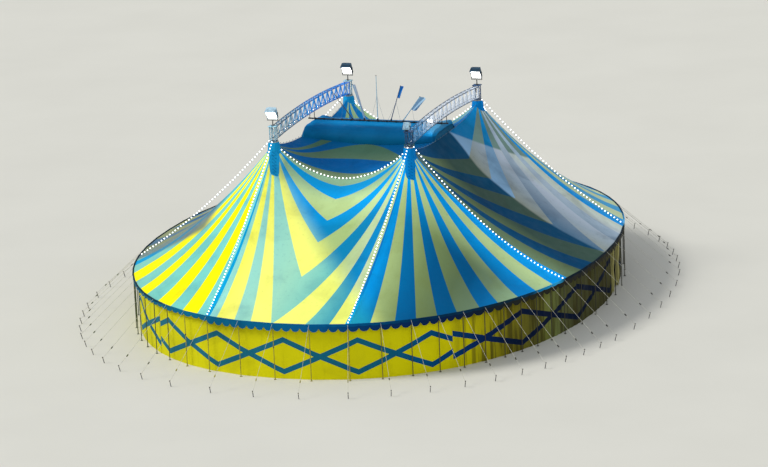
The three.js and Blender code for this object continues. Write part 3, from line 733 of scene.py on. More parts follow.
def cloth_surface(finish, colour, dark, stains):
    """Finishes coated tent cloth: faint stains, streaks, patchy gloss, creases and a fine weave."""
    patches = finish.ranged(finish.noise(0.8, 5.0, distortion=0.6), 0.45, 0.75, 0, stains)
    streaks = finish.ranged(finish.noise(9.0, 4.0, stretch=(1, 1, 0.12)), 0.55, 0.8, 0, stains * 0.7)
    for share in (patches, streaks):
        colour = finish.blend(share, colour, dark)
    gloss = finish.ranged(finish.noise(3.0, 4.0), 0.3, 0.7, 0.52, 0.72)
    finish.surface({"Base Color": colour, "Roughness": gloss})
    creases = finish.noise(2.2, 6.0, distortion=1.2)
    weave = finish.noise(160.0, 1.0)
    finish.bump(finish.math("ADD", creases, finish.product(weave, 0.04)), 0.02, 0.5)
    return finish.material


def tarpaulin(name, tones, dark, across=(1, 0, 0), stains=0.3, pleat_shade_range=None, drift=TONE_DRIFT,
              bend=None, peak_shade_tones=None):
    """Tent cloth whose tone runs through tones along a direction in plan and height; the tones are painted
    light and painted shade. A range of X may be given over which upright dark streaks come in: painted
    shade in the folds. bend is the range of X over which the tones are moved along, with the move at its
    start and at its end. Tones from front to back may be given for the cloth above the slanting line on
    the side: painted shade from the far mast's peak."""
    finish = Finish(name, roughness=0.6, specular=CLOTH_SHEEN)
    dark = from_screen(*dark)
    value = finish.wander(drift)
    for axis, weight in zip("XYZ", across):
        if weight:
            value = finish.math("ADD", value, finish.product(finish.axis(axis), weight))
    if bend:
        value = finish.math("SUBTRACT", value, finish.ranged(finish.axis("X"), *bend))
    colour = finish.ramp(value, tones)
    # Painted shade above the slanting line on the side, from the far mast's peak
    if peak_shade_tones:
        y = finish.axis("Y")
        slope = finish.math("SUBTRACT", y, finish.product(finish.axis("X"), UPPER_SLANT))
        colour = finish.blend(finish.ranged(slope, *UPPER_EDGE), colour, finish.ramp(y, peak_shade_tones))
    # Painted shade in the folds: upright dark streaks
    if pleat_shade_range:
        streaks = finish.ranged(finish.noise(4.5, 3.0, stretch=(1, 1, 0.07)), 0.46, 0.6, 0, 0.7)
        pleat_shade_share = finish.product(streaks, finish.ranged(finish.axis("X"), *pleat_shade_range))
        colour = finish.blend(pleat_shade_share, colour, dark)
    return cloth_surface(finish, colour, dark, stains)


def striped_cloth(name, lit, shade, near, far, dim, dark):
    """Canopy cloth with painted light and painted shade. lit and shade run from left to right on the two
    sides of a slanting edge: painted light on the one side, painted shade on the other. near runs from
    front to back by the side strings and is painted light from their bulbs, far is painted shade on the
    strip at the far left, and dim is painted shade on the cloth next to the front saddle."""
    finish = Finish(name, roughness=0.6, specular=CLOTH_SHEEN)
    far, dim, dark = (from_screen(*colour) for colour in (far, dim, dark))
    x, y = finish.axis("X"), finish.axis("Y")
    # The slanting edge between the painted light and the painted shade
    slant = finish.math("ADD", x, finish.wander(TONE_DRIFT))
    slant = finish.math("ADD", slant, finish.product(y, SHADE_SLANT))
    share = finish.ranged(slant, *SHADE_EDGE)
    colour = finish.blend(share, finish.ramp(x, lit), finish.ramp(x, shade))
    # Painted light from the bulbs of the side strings, on the shade side
    string_light_share = finish.product(finish.ranged(y, *NEAR_STRING), share)
    colour = finish.blend(string_light_share, colour, finish.ramp(y, near))
    # Painted shade on the strip at the far left
    slope = finish.math("ADD", y, finish.product(x, FAR_SLANT))
    before = finish.ranged(y, *FAR_END)
    left = finish.product(finish.ranged(slope, *FAR_EDGE), finish.ranged(x, *FAR_START), before)
    colour = finish.blend(left, colour, far)
    # Painted shade on the cloth next to the front saddle
    between = finish.ranged(finish.math("ABSOLUTE", x, 0.0), *SADDLE_END)
    saddle_shade_share = finish.product(finish.ranged(y, *SADDLE_DIM), between, before)
    return cloth_surface(finish, finish.blend(saddle_shade_share, colour, dim), dark, 0.22)


def metal(name, colour, dark, roughness, metallic, axis="X"):
    """Metal or paint. colour may be tones along an axis: painted light and painted shade."""
    finish = Finish(name, roughness=roughness, metallic=metallic)
    plain = isinstance(colour, tuple)
    colour = from_screen(*colour) if plain else finish.ramp(finish.axis(axis), colour)
    worn = finish.ranged(finish.noise(14.0, 5.0), 0.4, 0.7, 0, 0.6)
    gloss = finish.ranged(finish.noise(25.0, 3.0), 0.3, 0.7, roughness - 0.08, roughness + 0.12)
    finish.surface({"Base Color": finish.blend(worn, colour, from_screen(*dark)), "Roughness": gloss})
    finish.bump(finish.noise(60.0, 2.0), 0.002, 0.3)
    return finish.material


def glowing(name, colour, strength, rim):
    """Lit glass, a little darker towards patches of its surface."""
    finish = Finish(name, roughness=0.2)
    patches = finish.ranged(finish.noise(30.0), 0.3, 0.8)
    finish.surface({"Base Color": finish.blend(patches, colour, rim), "Emission Color": colour,
                    "Emission Strength": strength})
    return finish.material


# Canopy tones: painted light on the lit side of a slanting edge, painted shade on the other, painted light
# along the side strings and painted shade on the dim strips
CANOPY_BLUE = striped_cloth(
    "canopy_blue",
    [(-8, 130, 192, 180), (-4.5, 116, 198, 186), (-2.7, 118, 204, 196), (-2.4, 148, 216, 206),
     (-0.5, 156, 214, 188), (1, 112, 190, 180), (2.5, 30, 150, 180)],
    [(-1, 0, 140, 206), (0.5, 4, 124, 172), (1.6, 4, 120, 168), (2.3, 0, 130, 192), (2.75, 0, 148, 224),
     (3.15, 0, 114, 174), (4.4, 0, 86, 138), (5.6, 0, 82, 130), (6.6, 4, 114, 178), (8, 8, 136, 214)],
    [(-6, 0, 166, 250), (3.9, 0, 150, 230), (4.6, 80, 170, 222)], (112, 130, 128), (10, 138, 198),
    (0, 70, 120))
CANOPY_YELLOW = striped_cloth(
    "canopy_yellow",
    [(-8, 250, 238, 0), (-2.8, 252, 244, 0), (-2.4, 252, 250, 96), (-1.5, 252, 250, 122),
     (2, 236, 242, 118)],
    [(-1, 166, 190, 124), (1, 156, 180, 116), (2.2, 184, 204, 164), (2.75, 172, 194, 128),
     (3.2, 156, 178, 118), (4.1, 118, 138, 88), (5.2, 92, 112, 80), (6.2, 106, 130, 104),
     (7.2, 150, 182, 142), (8, 164, 200, 160)],
    [(-6, 198, 224, 158), (3.9, 186, 212, 156), (4.6, 204, 220, 178)], (122, 134, 112), (132, 168, 138),
    (110, 118, 40))
CANOPY_SEAM = striped_cloth(
    "canopy_seam", [(-8, 0, 150, 205), (0, 0, 162, 214)], [(0, 0, 120, 190), (6, 0, 100, 170)],
    [(-6, 0, 110, 190), (6, 0, 110, 190)], (60, 130, 160), (0, 120, 180), (0, 70, 120))
# The right side panel is dark in the front half and pale in the back half, with a sharp change at the
# middle: painted shade in front and painted light from the far mast's lamp behind. Above the slanting line
# it is painted shade again.
SIDE_BLUE = tarpaulin(
    "side_panel_blue",
    [(-3.9, 12, 92, 140), (-2.2, 0, 64, 104), (-0.18, 4, 68, 104), (-0.02, 84, 118, 146),
     (1.35, 126, 146, 166), (2.3, 158, 178, 196), (3.1, 180, 198, 214), (3.9, 150, 190, 214)], (4, 44, 72),
    (0, 1, 0), drift=SIDE_DRIFT, bend=SIDE_BEND)
SIDE_YELLOW = tarpaulin(
    "side_panel_yellow",
    [(-3.9, 122, 150, 118), (-2.8, 98, 118, 84), (-1.8, 58, 82, 74), (-0.18, 62, 86, 76),
     (-0.02, 146, 154, 146), (1.35, 156, 172, 186), (2.3, 184, 196, 212), (3.1, 206, 218, 212),
     (3.9, 196, 208, 188)], (56, 66, 56), (0, 1, 0), drift=SIDE_DRIFT, bend=SIDE_BEND,
    peak_shade_tones=[(0.6, 110, 142, 136), (3.9, 120, 148, 140)])
RIDGE_BLUE = tarpaulin(
    "ridge_blue",
    [(-3.9, 0, 84, 136), (-2, 0, 64, 98), (-0.18, 0, 72, 108), (-0.02, 136, 176, 212), (0.6, 128, 166, 198),
     (3.9, 120, 156, 190)], (0, 40, 68), (0, 1, 0), drift=SIDE_DRIFT, bend=SIDE_BEND,
    peak_shade_tones=[(0.6, 8, 118, 176), (2.2, 6, 118, 172), (3.0, 8, 150, 222), (3.9, 0, 160, 245)])
# The left side panels are greyed and darkened, most of all towards the front: painted shade
FAR_SIDE_BLUE = tarpaulin(
    "far_side_blue", [(-5, 108, 128, 138), (0, 60, 104, 140), (5, 30, 110, 170)], (30, 60, 86), (0, 1, 0))
FAR_SIDE_YELLOW = tarpaulin(
    "far_side_yellow", [(-5, 122, 134, 114), (0, 140, 146, 108), (5, 176, 180, 112)], (84, 90, 60),
    (0, 1, 0))
# The crown darkens towards the hood and lightens by the saddles: painted shade under the hood
CROWN_BLUE = tarpaulin(
    "crown_blue",
    [(-3.9, 0, 112, 182), (-2.6, 0, 80, 142), (-1.2, 0, 74, 122), (1.2, 0, 70, 116), (2.4, 0, 104, 172),
     (3.9, 0, 130, 200)], (0, 44, 76), (0, 1, 0))
CROWN_YELLOW = tarpaulin(
    "crown_yellow",
    [(-3.9, 144, 166, 124), (-3.1, 92, 116, 94), (-1.6, 60, 92, 76), (1.2, 66, 96, 76),
     (2.4, 124, 156, 112), (3.9, 176, 208, 156)], (48, 66, 50), (0, 1, 0))
# The hood is lighter above its lower creases towards the top: a painted highlight; darker below: painted
# shade; and lighter at the right end: painted light
HOOD_BLUE = tarpaulin(
    "hood_blue",
    [(5.8, 0, 86, 122), (6.1, 0, 84, 126), (6.3, 0, 82, 130), (6.37, 0, 86, 138), (6.40, 4, 118, 178),
     (6.45, 12, 128, 190), (6.62, 90, 160, 200)], (0, 50, 80), (0, 0, 1), drift=HOOD_DRIFT, bend=HOOD_BEND)
# Identical parts on the left and the right differ in tone along X: painted light on the left, painted shade
# on the right
BOOT_BLUE = tarpaulin("boot_blue", [(-3, 24, 150, 204), (3, 0, 120, 194)], (0, 60, 110))
BOOT_LACE = tarpaulin("boot_lace", [(-3, 10, 70, 112), (3, 4, 50, 92)], (0, 30, 60))
# The wall and its bands darken towards the right: painted shade. The lighter patch from 6.5 to 6.8 on the
# wall is painted light, and its upright dark streaks are painted shade in the folds.
WALL_YELLOW = tarpaulin(
    "wall_yellow",
    [(-9, 196, 192, 20), (2.8, 212, 204, 4), (4.0, 198, 188, 8), (5.2, 134, 126, 24), (6.2, 96, 94, 40),
     (6.5, 116, 120, 52), (6.8, 122, 132, 72), (7.1, 92, 96, 56), (7.4, 80, 82, 48), (9, 70, 68, 38)],
    (60, 54, 22), (1, 0.25, 0), 0.2, (5.2, 6.4))
WALL_BAND = tarpaulin(
    "wall_band",
    [(-9, 36, 104, 122), (1, 14, 96, 126), (2.6, 0, 76, 128), (4.2, 4, 44, 100), (5.4, 8, 26, 60),
     (9, 10, 22, 42)], (8, 30, 50), (1, 0.25, 0))
# The valance darkens towards the right: painted shade
VALANCE_BLUE = tarpaulin(
    "valance_blue",
    [(-9, 20, 92, 112), (-2, 8, 98, 136), (1.5, 4, 88, 140), (2.8, 4, 62, 114), (3.8, 4, 46, 96),
     (5.4, 6, 34, 74), (6.4, 18, 32, 48), (7.4, 40, 42, 34), (9, 48, 44, 32)], (6, 30, 50))
CURTAIN_KHAKI = tarpaulin("curtain_khaki", [(0, 152, 146, 88), (9, 176, 170, 112)], (100, 94, 56))
# Identical parts on the left and the right differ in tone along X: painted light on the left, painted shade
# on the right
NET_DARK = tarpaulin("net_dark", [(-3, 70, 92, 100), (3, 0, 88, 128)], (6, 52, 76))
FLAG_BLUE = tarpaulin("flag_blue", [(-3, 60, 140, 205), (3, 30, 110, 190)], (20, 80, 140))
FLAG_PALE = tarpaulin("flag_pale", [(-3, 200, 205, 220), (3, 130, 175, 205)], (110, 140, 170))
# The hem darkens at the far left and from 4.6 to 7.5: painted shade; its bright stretch from about 7.6 to 8
# is painted light
HEM_BLUE = tarpaulin(
    "hem_blue",
    [(-8, 16, 50, 66), (-5, 12, 60, 80), (-4, 10, 104, 140), (2.5, 0, 92, 150), (4.6, 0, 52, 90),
     (7.0, 14, 46, 66), (7.48, 8, 60, 92), (7.62, 10, 116, 168), (8.02, 50, 180, 235), (8.12, 16, 34, 48)],
    (8, 24, 44), drift=0.1)
DARK_STEEL = metal("painted_steel", (70, 72, 74), (38, 40, 42), 0.55, 0.3)
# The left arch's tones along Y are painted light and painted shade, changing towards the front end
TRUSS_BLUE = metal(
    "truss_blue", [(-3.9, 150, 170, 166), (-2, 110, 170, 200), (-0.5, 20, 170, 245), (3.9, 0, 150, 245)],
    (0, 130, 220), 0.5, 0.0, "Y")
CHORD_BLUE = metal(
    "chord_blue", [(-3.9, 56, 70, 76), (-2, 36, 80, 110), (-0.5, 0, 104, 200), (3.9, 0, 104, 215)],
    (0, 70, 150), 0.5, 0.0, "Y")
RAIL_STEEL = metal("rail_steel", (30, 44, 56), (16, 24, 32), 0.5, 0.3)
# Lit and shaded copies of one mast steel: the pale one is painted light, the dark one painted shade
MAST_STEEL_LIT = metal("mast_steel_lit", (150, 195, 215), (80, 120, 150), 0.45, 0.3)
MAST_STEEL_SHADED = metal("mast_steel_shaded", (24, 74, 120), (14, 40, 70), 0.45, 0.3)
# The poles darken towards both sides: painted shade, as on the wall
POLE_PAINT_AND_SHADE = metal(
    "pole_paint_and_shade",
    [(-9, 70, 84, 40), (-4.4, 56, 68, 34), (-3.6, 150, 144, 36), (2.8, 150, 140, 30), (4.2, 70, 62, 30),
     (9, 44, 42, 30)], (50, 48, 24), 0.55, 0.0)
# The right arch's tones along Y are painted light and painted shade, darker towards the front end
TRUSS_SILVER = metal(
    "truss_silver",
    [(-3.9, 30, 104, 150), (-3.1, 50, 130, 176), (-2.65, 96, 156, 204), (-2.2, 186, 216, 242),
     (-1.7, 240, 246, 255), (3.9, 240, 246, 255)], (170, 196, 224), 0.5, 0.0, "Y")
CHORD_GREY = metal(
    "chord_grey", [(-3.9, 16, 84, 130), (-2.65, 56, 112, 160), (-1.7, 70, 92, 122), (3.9, 70, 92, 122)],
    (36, 50, 70), 0.5, 0.0, "Y")
# Lit and shaded copies of one lamp housing: the dark one is painted shade, the pale one painted light
SHADED_HOUSING = metal("shaded_lamp_housing", (26, 66, 92), (20, 36, 50), 0.5, 0.2)
LIT_LAMP_HOUSING = metal("lit_lamp_housing", (176, 208, 226), (120, 150, 170), 0.5, 0.2)
ROPE = metal("guy_webbing", (196, 194, 180), (120, 118, 108), 0.75, 0.0)
CABLE = metal("cable_sheath", (96, 124, 146), (60, 84, 104), 0.5, 0.0)
LAMP_GLASS = glowing("lamp_glass", (1.0, 1.0, 0.97), 9.0, (0.8, 0.85, 0.9))
DIM_GLASS = glowing("dim_glass", from_screen(90, 130, 160), 0.0, from_screen(60, 100, 130))
BULB_GLASS = glowing("bulb_glass", (0.9, 0.95, 1.0), 3.0, (0.8, 0.85, 0.9))


# Canopy
def column_angles(stripes):
    """Angles of the columns: every stripe edge and rim vertex, with even steps between."""
    edges = {-90.0, *(float(end) for end, _ in stripes)}
    for out in (p - MAST for p in RIM_QUARTER):
        edges.add(round(degrees(atan2(out.x, out.y)), 6))
    return stations(edges, STRIPE_STEP)


def bay_wave(p):
    """Wave that is 0 at rim vertices and swings once over each bay, by the way round the rim."""
    turn, *turns = [atan2(q.x, q.y) for q in (p, *RIM_QUARTER)]
    for low, high in zip(turns, turns[1:]):
        if low <= turn <= high:
            return sin(tau * (turn - low) / (high - low))
    return 0.0


def canopy_column(angle, sx, sy):
    """Points of the cloth from the mast's collar outwards. An angle of 0 runs to the front or back."""
    end = ray_end(radians(angle))
    start = MAST + (end - MAST).normalized() * COLLAR_RADIUS
    wave = bay_wave(end)
    reaches_rim = RIM_ANGLES[0] < angle < RIM_ANGLES[1]
    column = []
    for share in spread(0, 1, CANOPY_ROWS):
        p = start.lerp(end, share)
        x, y = sx * p.x, sy * p.y
        z = cloth_z(x, y) + ripple(x, y) * (1 - share ** 6 if reaches_rim else 1)
        if reaches_rim:
            z += PUCKER_DEPTH * wave * sin(pi * smooth(PUCKER_START, 1, share))
        column.append(Vector((x, y, z)))
    return column


def canopy(name, sx, sy):
    stripes = LEFT_STRIPES if sx < 0 else RIGHT_STRIPES
    angles = column_angles(stripes)
    # The side panels take their own copies of the blue and yellow cloth, with painted shade and painted
    # light
    side = [FAR_SIDE_BLUE, FAR_SIDE_YELLOW] if sx < 0 else [SIDE_BLUE, SIDE_YELLOW]
    finishes = [CANOPY_BLUE, CANOPY_YELLOW, CANOPY_SEAM, *side, RIDGE_BLUE]

    def colour(i, j):
        middle = (angles[i] + angles[i + 1]) / 2
        return kind_at(stripes, middle) + (3 if middle > SIDE_PANEL_ANGLE else 0)

    shape = Shape().grid([canopy_column(angle, sx, sy) for angle in angles], colour)
    piece = make(f"canopy_cloth_{name}", shape, finishes, [f"canopy_{name}"],
                 CANOPY_THICKNESS, upwards)
    shape.area()


def crown_point(band, t, sx, sy):
    """A point of the crown: band picks a line from the mast, t runs along it."""
    width = MAST_Y - HOOD_HALF_WIDTH
    s = 1 - (1 - t) ** 2
    if band <= 1:
        fall, y = s, MAST_Y - band * width * s
    else:
        fall, y = s * (2 - band), MAST_Y - width * s
    x = MAST_X * sqrt(max(0.0, 1 - fall))
    return Vector((sx * x, sy * y, crown_z(x, y) + ripple(sx * x, sy * y)))


def crown_start(band):
    """Where a crown line leaves the mast's collar."""
    return last_inside(lambda t: (crown_point(band, t, 1, 1).xy - MAST).length < COLLAR_RADIUS, 1.0)


def crown(name, sy):
    bands = stations([0.0, *(end for end, _ in CROWN_BANDS)], CROWN_STEP)

    def colour(i, j):
        return kind_at(CROWN_BANDS, (bands[i] + bands[i + 1]) / 2)

    shape = Shape()
    lines = [(band, spread(crown_start(band), 1, CROWN_ROWS)) for band in bands]
    for sx in (-1, 1):
        shape.grid([[crown_point(band, t, sx, sy) for t in line] for band, line in lines], colour)
    piece = make(f"crown_cloth_{name}", shape, [CROWN_BLUE, CROWN_YELLOW],
                 [f"crown_{name}"], CANOPY_THICKNESS, upwards)
    shape.area()


def tongue_reach(turn):
    """How far a boot reaches: a disc, and a tongue of an even width with a round end."""
    along, across = cos(turn), abs(sin(turn))
    if along <= 0:
        return BOOT_REACH
    straight = TONGUE_HALF / max(across, 1e-6)
    out = (straight ** -6 + (TONGUE_LENGTH / along) ** -6) ** (-1 / 6)
    return max(BOOT_REACH, out)


def boot(name, sx, sy):
    """Reinforcing cloth round a peak, laced to the mast, with a laced tongue down one side."""
    def around(reach, turn):
        return sx * MAST_X + reach * sin(turn), sy * (MAST_Y + reach * cos(turn))

    turns = [tau * k / BOOT_SIDES for k in range(BOOT_SIDES)]
    rows = []
    for share in (0, 0.5, 1):
        radius, z = mix(BOOT_TOP_RADIUS, COLLAR_RADIUS, share), mix(BOOT_TOP_Z, PEAK_Z - BOOT_SEAT, share)
        gather = BOOT_GATHER * (1 - share * 2 / 3)
        rows.append([Vector((*around(radius + gather * cos(BOOT_GATHERS * turn), turn), z))
                     for turn in turns])
    for share in spread(0, 1, BOOT_ROWS - 1):
        reaches = [mix(COLLAR_RADIUS + BOOT_START, tongue_reach(turn - TONGUE_TURN), share)
                   for turn in turns]
        rows.append([on_cloth(*around(*place), BOOT_LIFT) for place in zip(reaches, turns)])
    shape = Shape().grid(rows, ring=True)
    lace = []
    holes = spread(COLLAR_RADIUS + LACE_START, TONGUE_LENGTH - LACE_MARGIN, TONGUE_HOLES - 1)
    for i, out in enumerate(holes):
        turn = TONGUE_TURN + (1 if i % 2 else -1) * LACE_SWING * TONGUE_HALF / out
        lace.append(on_cloth(*around(out, turn), 2 * BOOT_LIFT))
    shape.tube(lace, LACE_RADIUS, 5, 1)
    piece = make(f"peak_boot_{name}", shape, [BOOT_BLUE, BOOT_LACE], (), TRIM_THICKNESS,
                 upwards)
    shape.area()


# Hood and the nets at its ends
def hood_point(x, swing):
    """A point of the hood, at x and an angle from its top, with gathers that are drawn inwards."""
    power = mix(HOOD_POWER, HOOD_END_POWER, smooth(MAST_X - HOOD_END, MAST_X, abs(x)))
    crown = max(0.0, 1 - abs(sin(swing)) ** power) ** (1 / power)
    z = mix(hood_edge(x), HOOD_TOP_Z, crown)
    y = HOOD_HALF_WIDTH * sin(swing)
    past = max(0.0, abs(x) - (MAST_X - HOOD_ROUND))
    drop = HOOD_ROUND - sqrt(max(0.0, HOOD_ROUND ** 2 - past ** 2))
    z -= drop * crown
    y *= 1 - 0.25 * drop / HOOD_ROUND * crown
    fold = 0.5 + 0.5 * sin(11 * swing + 0.9 * sin(x * 1.7) + 0.6)
    fold += 0.5 + 0.5 * noise.noise(Vector((x * 1.3, swing * 3.2, 2.0)))
    for middle, depth in HOOD_CREASES:
        bend = middle + 0.05 * sin(1.9 * x + 3 * middle)
        fold += depth / HOOD_FOLD * exp(-((swing - bend) / CREASE_WIDTH) ** 2)
    away = Vector((0, sin(swing), 0.7 * cos(swing)))
    slack = smooth(0, 0.5, 1 - abs(sin(swing)))
    return Vector((x, y, z)) - away * (HOOD_FOLD * fold * (0.25 + 0.75 * abs(sin(swing))) * slack)


def hood():
    def place(u, v):
        return hood_point(mix(-MAST_X, MAST_X, u), pi * (v - 0.5))

    shape = Shape().grid(lattice(place, HOOD_COLUMNS, HOOD_ROWS))
    piece = make("hood_barrel", shape, [HOOD_BLUE], ["cupola_hood"],
                 CANOPY_THICKNESS, upwards)


def hood_net(name, sx):
    def place(u, v):
        swing = pi * (mix(0.03, 0.97, u) - 0.5)
        top = hood_point(sx * MAST_X, swing)
        belly = NET_BULGE * sin(pi * v) * cos(swing)
        z = mix(side_ridge(top.y) - 0.01, top.z - 0.004, v)
        return Vector((sx * (MAST_X - 0.012 - belly), top.y, z))

    shape = Shape().grid(lattice(place, NET_COLUMNS, NET_ROWS))
    piece = make(f"hood_net_{name}", shape, [NET_DARK], [f"cupola_net_{name}"],
                 TRIM_THICKNESS, lambda place: Vector((sx, 0, 0)))
    shape.area()


# Rim rigging and valance
def rigging(name, first, count):
    """Rim band with its hem rope, poles, guy ropes and stakes, at a row of rim vertices."""
    shape = Shape()
    last = first + count - 1
    places = [(first - 1, 0.5), *((k, 0.0) for k in range(first, last + 1)), (last, 0.5)]
    section = ((0, BAND_LOW), (1, BAND_LOW), (1, BAND_HIGH - BAND_BEVEL), (0.8, BAND_HIGH),
               (0, BAND_HIGH))
    shape.solid([[Vector((*rim_between(*place, BAND_OFFSET + out * BAND_WIDTH), RIM_Z + z))
                  for out, z in section] for place in places])
    hem_z = RIM_Z + BAND_HIGH + HEM_RADIUS * 0.6
    shape.tube([Vector((*rim_between(*place, HEM_OFFSET), hem_z)) for place in places], HEM_RADIUS, 8, 1)
    for k in range(first, last + 1):
        def at(distance, z):
            return Vector((*rim_offset(k, distance), z))

        foot, head = at(POLE_OFFSET, 0), at(POLE_OFFSET, RIM_Z + POLE_PAST_RIM)
        shape.tube([foot, foot.lerp(head, 0.985), head],
                   [POLE_RADIUS, POLE_RADIUS, POLE_RADIUS * 0.4], 10, 3)
        shape.tube([foot, foot + UP * POLE_FOOT_HEIGHT], POLE_FOOT, 12, 3)
        shape.tube([foot + UP * CLAMP_LOW, foot + UP * CLAMP_HIGH], POLE_RADIUS * 1.25, 10, 2)
        start, stake = at(GUY_START_OFFSET, RIM_Z), at(STAKE_REACH, 0)
        lean = at(STAKE_REACH + STAKE_LEAN, STAKE_HEIGHT)
        tie = stake.lerp(lean, GUY_TIE_SHARE)
        shape.tube([start, tie], GUY_RADIUS, 6, 4)
        turn = (tie - start).to_track_quat("Y", "Z").to_matrix()
        shape.block(start.lerp(tie, RATCHET_SHARE), RATCHET, turn, 3, RATCHET_BEVEL)
        shape.tube([tie + UP * GUY_KNOT, tie - UP * GUY_KNOT], STAKE_RADIUS * 1.7, 8, 4)
        shape.tube([stake, lean], STAKE_RADIUS, 8, 2)
        shape.tube([stake.lerp(lean, 0.93), lean], STAKE_RADIUS * 1.5, 8, 2)
    make(f"rim_{name}", shape, [HEM_BLUE, HEM_BLUE, DARK_STEEL, POLE_PAINT_AND_SHADE, ROPE],
         [f"rim_rigging_{name}"])


def valance(name, first):
    """Scalloped valance hung under the rim band of one quarter, from mid bay to mid bay."""
    last = first + QUARTER_BAYS - 1
    bays = [(first - 1, 0.5, 1.0), *((k, 0.0, 1.0) for k in range(first, last)), (last, 0.0, 0.5)]
    rows = []
    for k, start, stop in bays:
        length = (rim_offset(k + 1, VALANCE_OFFSET) - rim_offset(k, VALANCE_OFFSET)).length
        steps = max(1, round(length * (stop - start) / SCALLOP)) * SCALLOP_STEPS
        for i in range(steps + (k == last)):
            share = mix(start, stop, i / steps)
            part = i % SCALLOP_STEPS / SCALLOP_STEPS
            hem = sqrt(max(0.0, 1 - ((2 * part - 1) / SCALLOP_WIDTH) ** 2))
            size = mix(SMALL_SCALLOP, 1, smooth(*SCALLOP_RANGE, rim_between(k, share, 0).x))
            drop = size * (VALANCE_DROP - SCALLOP_DEPTH * (1 - hem))
            wave = VALANCE_WAVE * sin(tau * part)
            rows.append([Vector((*rim_between(k, share, VALANCE_OFFSET + wave * down),
                                 VALANCE_TOP - drop * down)) for down in (0, 0.2, 0.4, 0.6, 0.8, 1)])
    shape = Shape().grid(rows, lambda i, j: 1 if j == 0 else 0)
    piece = make(f"valance_cloth_{name}", shape, [VALANCE_BLUE, HEM_BLUE],
                 [f"valance_{name}"], TRIM_THICKNESS, outwards)
    shape.area()


# Wall
def wall_feet(sx, sy):
    """Where the wall stands under each rim vertex of a quarter, front or back middle first."""
    feet = [p - (p - MAST).normalized() * WALL_INSET for p in RIM_QUARTER]
    feet = [Vector((sx * p.x, sy * p.y)) for p in feet]
    return [Vector((0, feet[0].y)), *feet, Vector((feet[-1].x, 0))]


def zigzag(run):
    """The rise of the zigzags at a run along the wall: 0 where the two cross, 1 furthest apart."""
    crossing, width = DIAMOND_START, DIAMOND_WIDTH
    for place, other_crossing, other_width in PANEL_BREAKS:
        if abs(run) > abs(place) and run * place > 0:
            crossing, width = other_crossing, other_width
    return 1 - abs(2 * ((run - crossing) / width % 1) - 1)


def wall_runs(low, high):
    """Stations along the wall: even steps, and every place where the zigzags bend or cross."""
    runs = stations([low, high], WALL_STEP)
    edge = ZIGZAG_HALF / DIAMOND_RISE / 2
    for crossing, width in [(DIAMOND_START, DIAMOND_WIDTH), *(row[1:] for row in PANEL_BREAKS)]:
        runs.extend(crossing + (whole + part) * width
                    for whole in range(-14, 15) for part in (0, edge, 0.5, 1 - edge))
    runs.extend(place + side for place, _, _ in PANEL_BREAKS for side in (-1e-4, 1e-4))
    kept = [low]
    for run in sorted(runs):
        if run <= high and run - kept[-1] > 5e-5:
            kept.append(run)
    return kept


def wall(name, path, away):
    """Wall cloth along a path from the middle of the front or back. away is -1 where the path goes
    to the left, as seen from outside."""
    lengths = [0.0]
    for a, b in zip(path, path[1:]):
        lengths.append(lengths[-1] + (b - a).length)
    runs = wall_runs(*sorted((0.0, away * lengths[-1])))
    rows = []
    for run in runs:
        travelled = min(abs(run), lengths[-1])
        k = max(i for i, reached in enumerate(lengths[:-1]) if reached <= travelled + 1e-12)
        p = path[k].lerp(path[k + 1], (travelled - lengths[k]) / (lengths[k + 1] - lengths[k]))
        along = (path[k + 1] - path[k]).normalized()
        inward = Vector((along.y, -along.x))
        if inward.dot(p) > 0:
            inward = -inward
        depth = mix(QUIET_FOLD, FOLD_DEPTH, smooth(FOLD_START, FOLD_END, run))
        swing = run / FOLD_WAVE + 1.4 * noise.noise(Vector((run * 1.1, 0, 0)))
        rise = DIAMOND_RISE * zigzag(run)
        top = cloth_z(p.x, p.y) - WALL_GAP
        lines = sorted(DIAMOND_MIDDLE + up + edge for up in (rise, -rise)
                       for edge in (-ZIGZAG_HALF, ZIGZAG_HALF))
        levels = [0.0, lines[0] / 2, *lines, mix(lines[3], top, 0.33), mix(lines[3], top, 0.66), top]
        row = []
        for z in levels:
            loose = 0.5 + 0.5 * sin(tau * swing + 0.8 * noise.noise(Vector((run, z, 5))))
            q = p + inward * (0.004 + depth * loose * mix(0.35, 1, z / top))
            row.append(Vector((*q, z)))
        rows.append(row)

    def colour(i, j):
        rise = DIAMOND_RISE * zigzag((runs[i] + runs[i + 1]) / 2)
        z = sum(rows[a][b].z for a in (i, i + 1) for b in (j, j + 1)) / 4
        return 1 if abs(abs(z - DIAMOND_MIDDLE) - rise) < ZIGZAG_HALF else 0

    shape = Shape().grid(rows, colour)
    piece = make(f"wall_cloth_{name}", shape, [WALL_YELLOW, WALL_BAND], [f"wall_{name}"],
                 WALL_THICKNESS, outwards)


def curtain(name, foot, other):
    """Curtain drawn back into a bunch of deep folds, tied, with loose ends."""
    middle = foot + (other - foot).normalized() * (CURTAIN_RADIUS + CURTAIN_GAP)
    middle -= middle.normalized() * CURTAIN_GAP
    centre = Vector((*middle, 0))

    def place(u, v):
        tie = 1 - TIE_DEPTH * exp(-((u - TIE_PLACE) / TIE_WIDTH) ** 2) - 0.35 * smooth(0.6, 1, 1 - u)
        turn = tau * CURTAIN_TURN * v
        fold = 0.5 + 0.5 * cos(tau * CURTAIN_FOLDS * v)
        reach = CURTAIN_RADIUS * tie * (1 - 0.42 * fold)
        ragged = 0.06 * (1 - u) ** 6 * (1 + sin(5 * turn + 1))
        z = mix(0.02 + ragged, RIM_Z - CLOTH - 0.004, u)
        return centre + Vector((reach * cos(turn), reach * sin(turn), z))

    shape = Shape().grid(lattice(place, 24, CURTAIN_FOLDS * 6))
    piece = make(f"curtain_{name}", shape, [CURTAIN_KHAKI], [f"entrance_curtain_{name}"],
                 TRIM_THICKNESS, lambda place: (place - centre).normalized())
    shape.area()


